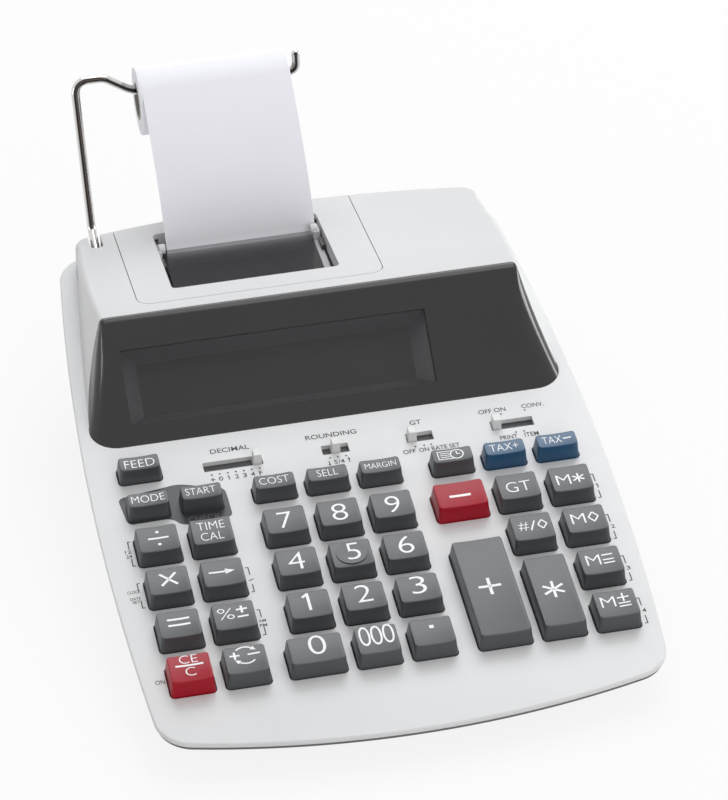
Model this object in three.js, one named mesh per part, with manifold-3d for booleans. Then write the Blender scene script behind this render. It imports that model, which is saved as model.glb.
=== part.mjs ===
// A desktop printing calculator with a paper roll on a bent wire arm, built as its separate pieces.
// Millimetres, X to the right, Y from the front edge to the back, Z up from the table.
import * as THREE from "three";
import { mergeVertices } from "three/addons/utils/BufferGeometryUtils.js";
import Module from "manifold-3d";

const wasm = await Module();
wasm.setup();

// Clearances and overruns that every piece shares
const gap = 0.3;
const overrun = 1;
const wall = 2.2;
const tubWall = 1.7;
const roundSides = 8;
const shaftSides = 12;

// Body outline seen from above: four arcs joined by round corners
const caseHalfWidth = 91.8;
const caseDepth = 276;
const frontEdge = 2.4;
const sideArcRadius = 1200;
const widestFromFront = 120;
const frontArcRadius = 340;
const rearArcRadius = 350;
const cornerRadius = 14;

// Keyboard deck: a plate that rises to the back, with a rolled edge as high as the plate is thick
const deckSlope = THREE.MathUtils.degToRad(8.5);
const deckFrontHeight = 12.4;
const rimHeight = 1.8;
const rimTuck = 0.4;
const rimRound = 0.6;

// Hump that holds the display and the printer. Its sides lean in less and less towards the back.
const humpFront = 160;
const humpTopFront = 192.8;
const humpTopHeight = 70;
const humpTopFall = THREE.MathUtils.degToRad(5.75);
const humpSideInset = 4.15;
const humpSideDrift = 0.028;
const humpLean = 0.377;
const humpLeanFall = 0.00325;
const humpLeastLean = 0.03;
const humpRearInset = 1.4;
const humpRearDraft = THREE.MathUtils.degToRad(6);
const humpCornerRadius = 10;
const humpTopCornerRadius = 1.2;
const humpEdgeRound = 1.6;
const humpEdgeDrop = 1.6;
const windowBevel = 1.2;

// Smoked window, cut from the front of the hump
const windowSeatDepth = 12.2;
const windowTopSeat = 1.4;
const windowSeatDrop = 7;
const windowThickness = 2;
const windowRebate = 0.5;

// Display behind the window, in the window's own plane
const displayCentreShare = -0.17;
const recessWidthShare = 1.22;
const recessHeight = 27.6;
const recessFoot = 7.4;
const recessDepth = 6;
const recessSlopeAcross = 5.7;
const glassHeight = 19.7;
const bezelRim = 3;
const displayBack = 2;

// Printer cover and the opening in it, stepped off from the arm and from the paper's width
const coverFromArm = 7.6;
const openingFromCover = 13.7;
const openingMargin = 2.7;
const coverBeyondOpening = 14.8;
const coverFront = 201.2;
const coverCornerRadius = 5;
const coverLip = 6.5;
const openingFront = 211;
const openingRear = 259.6;
const openingCornerRadius = 2;
const coverSeatWidth = 2.4;
const coverSeatThickness = 1.4;

// Keys: the columns are placed by shares of the case's half width
const groupShares = { left: -0.7908, digits: -0.2996, right: 0.3987 };
const columnShare = 0.207;
const columnSpace = 3.6;
const rowPitch = 21.62;
const firstRow = 33.5;
const smallRow = 122;
const feedRow = 141.4;
const keyDepth = 14.6;
const smallKeyDepth = 8.8;
const plusKeyRows = 1.6;
const keyHeight = 6.9;
const keyTaper = 0.6;
const keyTaperFront = 0.45;
const keyTaperRear = 1.6;
const keyCornerRadius = 1.5;
const keyTopCornerRadius = 0.8;
const keyRound = 0.3;
const dishDepth = 0.45;
const keyFlange = 0.9;
const keyFlangeThickness = 1.2;
const keyTravel = 3;
const keyClearance = 0.4;
const zeroKeyWiden = 4.2;
const rightKeyWiden = 3.3;
const tipHeight = 0.5;
const tipRadius = 5.4;

// Slide switches: a knob on a thin strip under a slot
const slotRow = 144.8;
const slotDepth = 4.9;
const knobWidth = 3.4;
const knobHeight = 4;
const knobTaper = 0.35;
const stripThickness = 1;
const stripSideways = 1.6;
const stripTailShare = 0.7;
const detentPitch = 2.9;
const decimalPlaces = 7;
const roundingPlaces = 3;
const totalPlaces = 3;
const printPlaces = 5;

// Rubber sheet and circuit board under the keys
const sheetThickness = 1;
const domeHeight = 0.6;
const domeRadius = 2.4;
const domeSides = 5;
const boardThickness = 1.6;
const boardFromSide = 14.8;
const boardFront = 29;
const boardRear = 152;

// Lower case
const floorHeight = 2.6;
const frontTuck = 11;
const sideTuck = Math.tan(THREE.MathUtils.degToRad(16.5));
const baseInset = 1.8;
const floorRound = 2.2;
const footRadius = 7;
const footFromSide = 27.8;
const frontFootY = 34;
const rearFootY = 236;
const ribThickness = 2;
const ribShare = 0.5;
const glandFromSide = 33.8;
const glandHeight = 22;
const glandRadius = 6;
const glandBore = 3.2;
const glandProud = 3;

// Paper and its roll
const paperWidth = 57;
const paperThickness = 0.4;
const rollRadius = 12.9;
const coreRadius = 6.2;
const rollY = 289.9;
const rollHeight = 103.8;
const tearEdgeY = 250;
const tearEdgeHeight = 60;
const webTail = 100;

// Wire arm
const wireRadius = 1.6;
const armFromSide = 22.8;
const notchHalfWidth = 2.5;
const notchFront = 254.4;
const notchFloor = 53;
const pivotY = 257.5;
const pivotHeight = 57.5;
const pivotReach = 5.8;
const armFootY = 270;
const armFootHeight = 62.8;
const armLean = THREE.MathUtils.degToRad(19.4);
const armRise = 56.5;
const armTopShare = 0.4955;
const shoulderClearance = 1.6;
const hookClearance = 3.4;
const hookRise = 7.2;
const bendRadius = 5;
const lugThickness = 2.4;
const lugHalfDepth = 4.5;
const lugDrop = 4.5;

// Printer
const platenRadius = 7;
const platenBelow = 14;
const journalRadius = 2.4;
const frameWall = 1.5;
const frameFront = 212;
const frameRear = 257;
const frameFootRear = 245;
const frameTop = 59;
const frameShelf = 20;
const ledgeTop = 58.5;
const ledgeRear = 243;
const earDepth = 5;
const earRise = 3;
const bossRadius = 1.7;
const shaftRadius = 2;
const shaftY = 224;
const shaftHeight = 39;
const carriageWidth = 12;
const carriageHome = 1.5;
const typeWheelRadius = 6;
const inkRadius = 4.2;
const inkWidth = 8;
const inkPin = 1.1;
const inkHeight = 50.8;
const inkY = 225;
const tearBarThickness = 1.5;
const tearArch = 1.2;
const tearFall = 1;
const tearTeeth = 36;
const toothHeight = 0.7;
const gearModule = 0.85;
const tipShare = 0.8;
const rootShare = 1.1;
const platenTeeth = 26;
const pinionTeeth = 10;
const gearWidth = 3;
const gearOffset = 2.4;
const motorRadius = 7.4;
const motorLength = 24;
const motorAngle = THREE.MathUtils.degToRad(-68);
const motorShaftRadius = 1;

// Mains transformer on the floor of the case
const coreClearance = 4;
const coreFromSide = 30;
const coreDepth = 12;
const coreHeight = 30;
const coilDepth = 26;
const coilInsetShare = 0.12;
const transformerY = 222;

// Places across the case that follow from the sizes
const columnPitch = caseHalfWidth * columnShare;
const keyWidth = columnPitch - columnSpace;
const displayCentreX = caseHalfWidth * displayCentreShare;
const recessWidth = caseHalfWidth * recessWidthShare;
const glassWidth = recessWidth - 2 * recessSlopeAcross;
const armX = armFromSide - caseHalfWidth;
const coverLeft = armX + coverFromArm;
const openingLeft = coverLeft + openingFromCover;
const openingRight = openingLeft + paperWidth + 2 * openingMargin;
const coverRight = openingRight + coverBeyondOpening;
const webX = (openingLeft + openingRight) / 2;
const webLow = webX - paperWidth / 2;
const webHigh = webX + paperWidth / 2;
const armShoulderX = webLow - shoulderClearance;
const armTopX = armX + (armShoulderX - armX) * armTopShare;
const hookX = webHigh + hookClearance;
const boardHalfWidth = caseHalfWidth - boardFromSide;
const footX = caseHalfWidth - footFromSide;
const ribX = caseHalfWidth * ribShare;
const glandX = caseHalfWidth - glandFromSide;

// Heights of the two main planes
const deckZ = (y) => deckFrontHeight + y * Math.tan(deckSlope);
const topZ = (y) => humpTopHeight - (y - humpTopFront) * Math.tan(humpTopFall);
const windowRise = (humpTopHeight - deckZ(humpFront)) / (humpTopFront - humpFront);
const windowAngle = Math.atan(windowRise);

// Solids and booleans
function solidOf(geometry) {
  const bare = geometry.index ? geometry.toNonIndexed() : geometry.clone();
  bare.deleteAttribute("normal");
  bare.deleteAttribute("uv");
  const merged = mergeVertices(bare, 1e-4);
  const vertProperties = merged.attributes.position.array;
  const triVerts = new Uint32Array(merged.index.array);
  return new wasm.Manifold(new wasm.Mesh({ numProp: 3, vertProperties, triVerts }));
}

function geometryOf(solid) {
  const mesh = solid.getMesh();
  const geometry = new THREE.BufferGeometry();
  geometry.setAttribute("position", new THREE.BufferAttribute(mesh.vertProperties, 3));
  geometry.setIndex(new THREE.BufferAttribute(mesh.triVerts, 1));
  const faceted = geometry.toNonIndexed();
  faceted.computeVertexNormals();
  return faceted;
}

const joined = (solids) => solids.reduce((sum, next) => sum.add(next));

// A closed skin over rings of equal count, from the lowest up. Each ring runs counter-clockwise seen
// from above, and its first and last points face each other, so the ends close in strips.
function loft(rings) {
  const count = rings[0].length;
  const half = count / 2;
  const positions = [];
  const face = (a, b, c) => positions.push(...a, ...b, ...c);
  for (let level = 0; level + 1 < rings.length; level++) {
    const low = rings[level];
    const high = rings[level + 1];
    for (let i = 0; i < count; i++) {
      const j = (i + 1) % count;
      face(low[i], low[j], high[j]);
      face(low[i], high[j], high[i]);
    }
  }
  const floor = rings[0];
  const roof = rings[rings.length - 1];
  for (let i = 0; i + 1 < half; i++) {
    const far = count - 1 - i;
    face(floor[i], floor[far - 1], floor[i + 1]);
    face(floor[i], floor[far], floor[far - 1]);
    face(roof[i], roof[i + 1], roof[far - 1]);
    face(roof[i], roof[far - 1], roof[far]);
  }
  const geometry = new THREE.BufferGeometry();
  geometry.setAttribute("position", new THREE.Float32BufferAttribute(positions, 3));
  return geometry;
}

// A profile given as [y, z] points, drawn out along X from low to high
function alongX(points, low, high) {
  const shape = new THREE.Shape(points.map(([y, z]) => new THREE.Vector2(y, z)));
  const geometry = new THREE.ExtrudeGeometry(shape, { depth: high - low, bevelEnabled: false });
  const toWorld = new THREE.Matrix4().makeBasis(
    new THREE.Vector3(0, 1, 0),
    new THREE.Vector3(0, 0, 1),
    new THREE.Vector3(1, 0, 0),
  );
  geometry.applyMatrix4(toWorld);
  geometry.translate(low, 0, 0);
  return geometry;
}

// A round bar along X, centred on the given y and z
function barAlongX(radius, low, high, y, z, sides = shaftSides) {
  const geometry = new THREE.CylinderGeometry(radius, radius, high - low, sides);
  geometry.rotateZ(Math.PI / 2);
  geometry.translate((low + high) / 2, y, z);
  return geometry;
}

function boxBetween(low, high) {
  const size = high.map((value, i) => value - low[i]);
  const geometry = new THREE.BoxGeometry(...size);
  geometry.translate(...low.map((value, i) => value + size[i] / 2));
  return geometry;
}

// A plan outline with round corners, drawn up from low to high
function roundedPrism(left, right, front, rear, radius, low, high, steps = 3) {
  const shape = new THREE.Shape();
  shape.absarc(right - radius, front + radius, radius, -Math.PI / 2, 0);
  shape.absarc(right - radius, rear - radius, radius, 0, Math.PI / 2);
  shape.absarc(left + radius, rear - radius, radius, Math.PI / 2, Math.PI);
  shape.absarc(left + radius, front + radius, radius, Math.PI, (3 * Math.PI) / 2);
  const options = { depth: high - low, bevelEnabled: false, curveSegments: steps };
  const geometry = new THREE.ExtrudeGeometry(shape, options);
  geometry.translate(0, 0, low);
  return geometry;
}

// Body outline as points with their outward normals, right half from the front, then the left half
function arcPoints(centre, radius, from, to, steps) {
  return Array.from({ length: steps + 1 }, (_, i) => {
    const angle = from + ((to - from) * i) / steps;
    const nx = Math.cos(angle);
    const ny = Math.sin(angle);
    return { x: centre[0] + radius * nx, y: centre[1] + radius * ny, nx, ny };
  });
}

// Centre of the round corner that touches the side arc and an end arc from inside
function cornerCentre(endCentreY, endRadius, towards) {
  const sideX = caseHalfWidth - sideArcRadius;
  const a = endRadius - cornerRadius;
  const b = sideArcRadius - cornerRadius;
  const dx = sideX;
  const dy = widestFromFront - endCentreY;
  const distance = Math.hypot(dx, dy);
  const along = (a * a - b * b + distance * distance) / (2 * distance);
  const across = Math.sqrt(a * a - along * along) * towards;
  const ux = dx / distance;
  const uy = dy / distance;
  return [along * ux - across * uy, endCentreY + along * uy + across * ux];
}

function mirrored(right) {
  const left = right.map((p) => ({ ...p, x: -p.x, nx: -p.nx }));
  return [...right, ...left.reverse()];
}

const sideCentre = [caseHalfWidth - sideArcRadius, widestFromFront];
const frontCentre = [0, frontEdge + frontArcRadius];
const rearCentre = [0, caseDepth - rearArcRadius];
const frontCorner = cornerCentre(frontCentre[1], frontArcRadius, 1);
const rearCorner = cornerCentre(rearCentre[1], rearArcRadius, -1);
const bearing = (from, to) => Math.atan2(to[1] - from[1], to[0] - from[0]);
const frontTurn = bearing(frontCentre, frontCorner);
const sideStart = bearing(sideCentre, frontCorner);
const sideEnd = bearing(sideCentre, rearCorner);
const rearTurn = bearing(rearCentre, rearCorner);
const middleShare = 1 / 9;
const frontMiddle = -Math.PI / 2 + (frontTurn + Math.PI / 2) * middleShare;
const rearMiddle = Math.PI / 2 + (rearTurn - Math.PI / 2) * middleShare;

const bodyOutline = mirrored([
  ...arcPoints(frontCentre, frontArcRadius, frontMiddle, frontTurn, 4),
  ...arcPoints(frontCorner, cornerRadius, frontTurn, sideStart, 4).slice(1),
  ...arcPoints(sideCentre, sideArcRadius, sideStart, sideEnd, 5).slice(1),
  ...arcPoints(rearCorner, cornerRadius, sideEnd, rearTurn, 4).slice(1),
  ...arcPoints(rearCentre, rearArcRadius, rearTurn, rearMiddle, 4).slice(1),
]);

// A ring on the body outline, set in by an amount and at a height that follows the place
function bodyRing(inset, height) {
  return bodyOutline.map((p) => {
    const x = p.x - p.nx * inset;
    const y = p.y - p.ny * inset;
    return [x, y, height(y)];
  });
}

// Half width of the body at a distance from the front, away from its corners
const halfWidthAt = (y) =>
  sideCentre[0] + Math.sqrt(sideArcRadius * sideArcRadius - (y - widestFromFront) ** 2);

// How far the hump's side stands in from the body outline, by its place and its rise over the deck
function humpInset(y, rise) {
  const back = y - humpFront;
  const lean = Math.max(humpLean - humpLeanFall * back, humpLeastLean);
  return humpSideInset + humpSideDrift * back + rise * lean;
}

// A ring round the hump at a height that follows the place. Deep is how far the ring is set in from
// the hump's own skin, and back is how far its front is moved from the window's plane.
function humpRing({ height, deep = 0, back = 0, radius }) {
  const above = (y) => height(y) - deckZ(humpFront) - (y - humpFront) * windowRise;
  const slope = (above(humpTopFront) - above(humpFront)) / (humpTopFront - humpFront);
  const front = humpFront - above(humpFront) / slope + back + deep / Math.sin(windowAngle);
  const sideAt = (y) => halfWidthAt(y) - humpInset(y, height(y) - deckZ(y)) - deep;
  const cornerY = front + radius;
  const cornerX = sideAt(cornerY) - radius;
  const corner = arcPoints([cornerX, cornerY], radius, -Math.PI / 2, 0, 4);
  const rear = [
    ...arcPoints(rearCorner, cornerRadius, sideEnd, rearTurn, 4),
    ...arcPoints(rearCentre, rearArcRadius, rearTurn, rearMiddle, 3).slice(1),
  ].map((p) => {
    const rise = height(p.y) - deckZ(p.y);
    const side = humpInset(p.y, rise);
    const rearward = humpRearInset + rise * Math.tan(humpRearDraft);
    const inset = rearward + (side - rearward) * p.nx ** 2 + deep;
    return { ...p, x: p.x - p.nx * inset, y: p.y - p.ny * inset };
  });
  const sideSteps = 4;
  const side = Array.from({ length: sideSteps - 1 }, (_, i) => {
    const y = cornerY + ((rear[0].y - cornerY) * (i + 1)) / sideSteps;
    return { x: sideAt(y), y, nx: 1, ny: 0 };
  });
  return mirrored([...corner, ...side, ...rear]).map((p) => [p.x, p.y, height(p.y)]);
}

// The hump's skin, set in by an amount, from a height under the deck up to its top
function hump(deep, foot) {
  const radius = Math.max(humpCornerRadius - deep, overrun);
  const topRadius = Math.max(humpTopCornerRadius - deep, overrun);
  return loft([
    humpRing({ height: (y) => deckZ(y) - foot, deep, radius }),
    humpRing({ height: (y) => topZ(y) - humpEdgeDrop - deep, deep, radius: topRadius }),
    humpRing({
      height: (y) => topZ(y) - humpEdgeDrop / 3 - deep,
      deep: deep + humpEdgeRound / 4,
      radius: topRadius,
    }),
    humpRing({
      height: (y) => topZ(y) - deep,
      deep: deep + humpEdgeRound,
      back: windowBevel - humpEdgeRound / Math.sin(windowAngle),
      radius: topRadius,
    }),
  ]);
}

// The space in front of the window's seat, moved back by an amount. Seen from the side, the seat
// drops straight down from the hump's top and then sweeps forward to the deck.
function windowWedge(shift) {
  const seatFoot = humpFront + windowSeatDepth + shift;
  const seatTop = humpTopFront + windowTopSeat + shift;
  const bend = humpTopHeight - windowSeatDrop;
  const run = seatTop - seatFoot;
  const fall = bend - deckZ(seatFoot);
  const radius = (run * run + fall * fall) / (2 * run);
  const steps = 5;
  const sweep = Array.from({ length: steps + 1 }, (_, i) => {
    const turn = (Math.atan2(fall, radius - run) * (steps - i)) / steps;
    return [seatTop - radius * (1 - Math.cos(turn)), bend - radius * Math.sin(turn)];
  });
  const clear = humpFront - windowSeatDepth;
  return alongX(
    [
      [clear, 0],
      [seatFoot, 0],
      ...sweep,
      [seatTop, humpTopHeight + overrun],
      [clear, humpTopHeight + overrun],
    ],
    -caseHalfWidth,
    caseHalfWidth,
  );
}

// Outline of a key seen from above. The taper goes from nothing at its foot to its whole at the top,
// more at the back than at the front, round is a further inset on all sides, and the dish hollows
// the surface along X. The points pair front to back, so the top closes in strips.
function keyRing(width, depth, taper, round, z, dish = 0) {
  const halfWidth = width / 2 - keyTaper * taper - round;
  const low = keyTaperFront * taper + round;
  const high = depth - keyTaperRear * taper - round;
  const radius = keyCornerRadius + (keyTopCornerRadius - keyCornerRadius) * taper - round;
  const cut = radius * (1 - Math.SQRT1_2);
  const inner = halfWidth - radius;
  const front = [
    [-halfWidth, low + radius],
    [-halfWidth + cut, low + cut],
    [-inner, low],
    [-inner / 3, low],
    [inner / 3, low],
    [inner, low],
    [halfWidth - cut, low + cut],
    [halfWidth, low + radius],
  ];
  const rear = front.map(([x, y]) => [x, low + high - y]).reverse();
  return [...front, ...rear].map(([x, y]) => [x, y, z - dish * (1 - (x / halfWidth) ** 2)]);
}

function keyGeometry(width, depth) {
  const flangeTop = -rimHeight - gap;
  const flangeBottom = flangeTop - keyFlangeThickness;
  const shoulder = keyHeight - keyRound;
  const cap = loft([
    keyRing(width, depth, 0, 0, flangeTop - keyFlangeThickness / 2),
    keyRing(width, depth, 0, 0, 0),
    keyRing(width, depth, shoulder / keyHeight, 0, shoulder, dishDepth),
    keyRing(width, depth, 1, keyRound, keyHeight, dishDepth),
  ]);
  const flange = boxBetween(
    [-width / 2 - keyFlange, -keyFlange, flangeBottom],
    [width / 2 + keyFlange, depth + keyFlange, flangeTop],
  );
  return geometryOf(solidOf(cap).add(solidOf(flange)));
}

// Every key: name, group and column, row, how far it reaches back, and how much wider it is
const fullRow = (row) => firstRow + rowPitch * (4 - row);
const slate = "slate";
const red = "red";
const blue = "blue";
const keyList = [
  ["key_feed", "left", 0, feedRow, smallKeyDepth, 0, slate],
  ["key_mode", "left", 0, smallRow, smallKeyDepth, 0, slate],
  ["key_start", "left", 1, smallRow, smallKeyDepth, 0, slate],
  ["key_cost", "digits", 0, smallRow, smallKeyDepth, 0, slate],
  ["key_sell", "digits", 1, smallRow, smallKeyDepth, 0, slate],
  ["key_margin", "digits", 2, smallRow, smallKeyDepth, 0, slate],
  ["key_clock", "right", 0, smallRow, smallKeyDepth, 0, slate],
  ["key_tax_plus", "right", 1, smallRow, smallKeyDepth, 0, blue],
  ["key_tax_minus", "right", 2, smallRow, smallKeyDepth, 0, blue],
  ["key_divide", "left", 0, fullRow(1), keyDepth, 0, slate],
  ["key_multiply", "left", 0, fullRow(2), keyDepth, 0, slate],
  ["key_equals", "left", 0, fullRow(3), keyDepth, 0, slate],
  ["key_clear", "left", 0, fullRow(4), keyDepth, 0, red],
  ["key_time", "left", 1, fullRow(1), keyDepth, 0, slate],
  ["key_shift", "left", 1, fullRow(2), keyDepth, 0, slate],
  ["key_percent", "left", 1, fullRow(3), keyDepth, 0, slate],
  ["key_sign", "left", 1, fullRow(4), keyDepth, 0, slate],
  ["key_7", "digits", 0, fullRow(1), keyDepth, 0, slate],
  ["key_8", "digits", 1, fullRow(1), keyDepth, 0, slate],
  ["key_9", "digits", 2, fullRow(1), keyDepth, 0, slate],
  ["key_4", "digits", 0, fullRow(2), keyDepth, 0, slate],
  ["key_5", "digits", 1, fullRow(2), keyDepth, 0, slate],
  ["key_6", "digits", 2, fullRow(2), keyDepth, 0, slate],
  ["key_1", "digits", 0, fullRow(3), keyDepth, 0, slate],
  ["key_2", "digits", 1, fullRow(3), keyDepth, 0, slate],
  ["key_3", "digits", 2, fullRow(3), keyDepth, 0, slate],
  ["key_0", "digits", 0, fullRow(4), keyDepth, zeroKeyWiden, slate],
  ["key_000", "digits", 1, fullRow(4), keyDepth, 0, slate],
  ["key_point", "digits", 2, fullRow(4), keyDepth, 0, slate],
  ["key_minus", "right", 0, fullRow(1), keyDepth, rightKeyWiden, red],
  ["key_plus", "right", 0, fullRow(4), keyDepth + plusKeyRows * rowPitch, rightKeyWiden, slate],
  ["key_grand_total", "right", 1, fullRow(1), keyDepth, 0, slate],
  ["key_subtotal", "right", 1, fullRow(2), keyDepth, 0, slate],
  ["key_total", "right", 1, fullRow(4), keyDepth + rowPitch, 0, slate],
  ["key_memory_total", "right", 2, fullRow(1), keyDepth, 0, slate],
  ["key_memory_subtotal", "right", 2, fullRow(2), keyDepth, 0, slate],
  ["key_memory_plus", "right", 2, fullRow(3), keyDepth, 0, slate],
  ["key_memory_minus", "right", 2, fullRow(4), keyDepth, 0, slate],
];
const keys = keyList.map(([name, group, column, front, depth, widen, colour]) => {
  const x = caseHalfWidth * groupShares[group] + columnPitch * column - widen / 2;
  return { name, x, front, width: keyWidth + widen, depth, colour };
});

// Slide switches: the first place as a share of the half width, how many places there are, and
// the one where the knob rests
const switches = [
  { name: "decimal_switch", firstShare: -0.5207, places: decimalPlaces, rest: decimalPlaces - 1 },
  { name: "rounding_switch", firstShare: -0.0523, places: roundingPlaces, rest: 1 },
  { name: "total_switch", firstShare: 0.2832, places: totalPlaces, rest: 0 },
  { name: "print_switch", firstShare: 0.622, places: printPlaces, rest: 0 },
].map((s) => {
  const first = caseHalfWidth * s.firstShare;
  const travel = detentPitch * (s.places - 1);
  const knob = first + detentPitch * s.rest;
  return { ...s, first, last: first + travel, knob, travel, tail: s.rest > s.places / 2 ? -1 : 1 };
});

// Materials, by their looks
const finish = (color, roughness, metalness = 0) =>
  new THREE.MeshStandardMaterial({ color, roughness, metalness });
const materials = {
  case: () => finish(0xd3d4d6, 0.5),
  slate: () => finish(0x55585c, 0.45),
  red: () => finish(0xb5101f, 0.35),
  blue: () => finish(0x24587e, 0.4),
  window: () => finish(0x333336, 0.12),
  display: () => finish(0x2c2d2f, 0.3),
  chrome: () => finish(0xc9c5c0, 0.12, 1),
  paper: () => finish(0xe6e6ec, 0.9),
  rubber: () => finish(0x2a2a2c, 0.85),
  board: () => finish(0x2f5b3a, 0.6),
  sheet: () => finish(0xa9adb0, 0.8),
  frame: () => finish(0xc3c5c7, 0.5),
  steel: () => finish(0x9a9da1, 0.35, 1),
  ink: () => finish(0x3a2038, 0.9),
};

const calculator = new THREE.Group();
const deck = new THREE.Group();
deck.rotation.x = deckSlope;
deck.position.z = deckFrontHeight;
calculator.add(deck);

function addPiece(name, geometry, material, parent = calculator) {
  const mesh = new THREE.Mesh(geometry, materials[material]());
  mesh.name = name;
  parent.add(mesh);
  return mesh;
}

// A tool shape drawn on the deck, turned into the case's own frame
function onDeck(geometry) {
  deck.updateMatrix();
  return geometry.applyMatrix4(deck.matrix);
}

// Where the paper runs: it leaves the roll at the front and passes behind the tear edge
const webInner = rollRadius + gap;
const webEdgeY = tearEdgeY + 2 * gap + paperThickness;
const toEdgeY = webEdgeY - rollY;
const toEdgeZ = tearEdgeHeight - rollHeight;
const edgeDistance = Math.hypot(toEdgeY, toEdgeZ);
const tangentTurn = Math.acos(webInner / edgeDistance);
const leaveAngle = Math.atan2(toEdgeZ, toEdgeY) - tangentTurn + 2 * Math.PI;
const webLean = leaveAngle - Math.PI / 2;
const webDown = [-Math.cos(webLean), -Math.sin(webLean)];
const webBack = [-webDown[1], webDown[0]];
const platenCentreY = webEdgeY + webDown[0] * platenBelow + webBack[0] * platenRadius;
const platenCentreZ = tearEdgeHeight + webDown[1] * platenBelow + webBack[1] * platenRadius;

// Middle line of the web: over the roll, straight down behind the tear edge, round the platen
function webLine(offset) {
  const steps = 6;
  const over = Array.from({ length: steps + 1 }, (_, i) => {
    const angle = Math.PI / 2 + ((leaveAngle - Math.PI / 2) * i) / steps;
    const radius = webInner + offset;
    return [rollY + radius * Math.cos(angle), rollHeight + radius * Math.sin(angle)];
  });
  const under = Array.from({ length: steps + 1 }, (_, i) => {
    const angle = leaveAngle + (THREE.MathUtils.degToRad(webTail) * i) / steps;
    const radius = platenRadius + gap + offset;
    return [platenCentreY + radius * Math.cos(angle), platenCentreZ + radius * Math.sin(angle)];
  });
  return [...over, ...under];
}

// Upper case: deck with its rolled edge, hump, key wells, slots, cover cut-out and arm notch
const shell = solidOf(
  loft([
    bodyRing(rimTuck, (y) => deckZ(y) - rimHeight),
    bodyRing(0, (y) => deckZ(y) - rimHeight + rimTuck),
    bodyRing(0, (y) => deckZ(y) - rimRound),
    bodyRing(rimRound / 3, (y) => deckZ(y) - rimRound / 3),
    bodyRing(rimRound, (y) => deckZ(y)),
  ]),
);
const humpInside = solidOf(hump(wall, rimHeight + overrun));
const humpSkin = solidOf(hump(0, windowRebate)).subtract(humpInside);
const windowPocket = solidOf(hump(-gap, windowRebate)).intersect(solidOf(windowWedge(gap)));

const wellRadius = keyCornerRadius + keyClearance;
const wells = keys.map((key) => {
  const half = key.width / 2 + keyClearance;
  const low = -rimHeight - overrun;
  const front = key.front - keyClearance;
  const rear = key.front + key.depth + keyClearance;
  return onDeck(roundedPrism(key.x - half, key.x + half, front, rear, wellRadius, low, overrun, 1));
});
const slots = switches.map((s) => {
  const half = knobWidth / 2 + gap;
  const front = slotRow - slotDepth / 2;
  const rear = slotRow + slotDepth / 2;
  return onDeck(
    boxBetween([s.first - half, front, -rimHeight - overrun], [s.last + half, rear, overrun]),
  );
});

// The cover's plan and the strips in the case that it rests on
function coverPlan(grow, low, high) {
  const far = caseDepth + cornerRadius;
  const corner = coverCornerRadius + grow;
  return roundedPrism(coverLeft - grow, coverRight + grow, coverFront - grow, far, corner, low, high);
}
const lipFloor = topZ(caseDepth) - coverLip;
const coverCut = solidOf(coverPlan(gap, lipFloor - gap, humpTopHeight + overrun));
const coverSeats = [coverLeft, coverRight].map((edge) => {
  const under = topZ(coverFront) - wall - gap;
  const fall = (caseDepth - wall * 2 - coverFront) * Math.tan(humpTopFall);
  const rearY = caseDepth - 2 * cornerRadius;
  const slopeTo = (rearY - coverFront) / (caseDepth - wall * 2 - coverFront);
  return alongX(
    [
      [coverFront, under - coverSeatThickness],
      [rearY, under - coverSeatThickness - fall * slopeTo],
      [rearY, under - fall * slopeTo],
      [coverFront, under],
    ],
    edge - coverSeatWidth,
    edge + coverSeatWidth,
  );
});
const tieReach = gap + coverSeatWidth / 2;
const seatTies = [coverLeft - tieReach, coverRight + tieReach].map((x) => {
  const rearY = caseDepth - 2 * cornerRadius;
  return alongX(
    [
      [coverFront, topZ(coverFront) - wall - gap - coverSeatThickness / 2],
      [rearY, topZ(rearY) - wall - gap - coverSeatThickness / 2],
      [rearY, topZ(rearY) - wall / 2],
      [coverFront, topZ(coverFront) - wall / 2],
    ],
    x - coverSeatWidth / 2,
    x + coverSeatWidth / 2,
  );
});

// The arm's notch, open to the back, and the lug that its pivot end turns in
const notchTop = humpTopHeight + overrun;
const notchBar = solidOf(
  boxBetween(
    [armX - notchHalfWidth, notchFront + notchHalfWidth, notchFloor],
    [armX + notchHalfWidth, caseDepth + overrun, notchTop],
  ),
);
const notchEnd = new THREE.CylinderGeometry(
  notchHalfWidth,
  notchHalfWidth,
  notchTop - notchFloor,
  shaftSides,
);
notchEnd.rotateX(Math.PI / 2);
notchEnd.translate(armX, notchFront + notchHalfWidth, (notchTop + notchFloor) / 2);
const notch = notchBar.add(solidOf(notchEnd));
const lugLow = armX + notchHalfWidth + gap;
const lug = solidOf(
  alongX(
    [
      [pivotY - lugHalfDepth, pivotHeight],
      [pivotY - lugHalfDepth / 2, pivotHeight - lugDrop],
      [pivotY + lugHalfDepth / 2, pivotHeight - lugDrop],
      [pivotY + lugHalfDepth, pivotHeight],
      [pivotY + lugHalfDepth, topZ(pivotY + lugHalfDepth) - wall / 2],
      [pivotY - lugHalfDepth, topZ(pivotY - lugHalfDepth) - wall / 2],
    ],
    lugLow,
    lugLow + lugThickness,
  ),
).subtract(
  solidOf(
    barAlongX(
      wireRadius + gap,
      lugLow - overrun,
      lugLow + lugThickness + overrun,
      pivotY,
      pivotHeight,
      roundSides,
    ),
  ),
);

let upperCase = shell.subtract(humpInside).add(humpSkin);
upperCase = upperCase.subtract(windowPocket);
upperCase = upperCase.subtract(joined([...wells, ...slots].map(solidOf)));
upperCase = upperCase.subtract(coverCut);
upperCase = upperCase.add(joined([...coverSeats, ...seatTies].map(solidOf)));
upperCase = upperCase.subtract(notch).add(lug);
addPiece("top_case", geometryOf(upperCase), "case");

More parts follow.
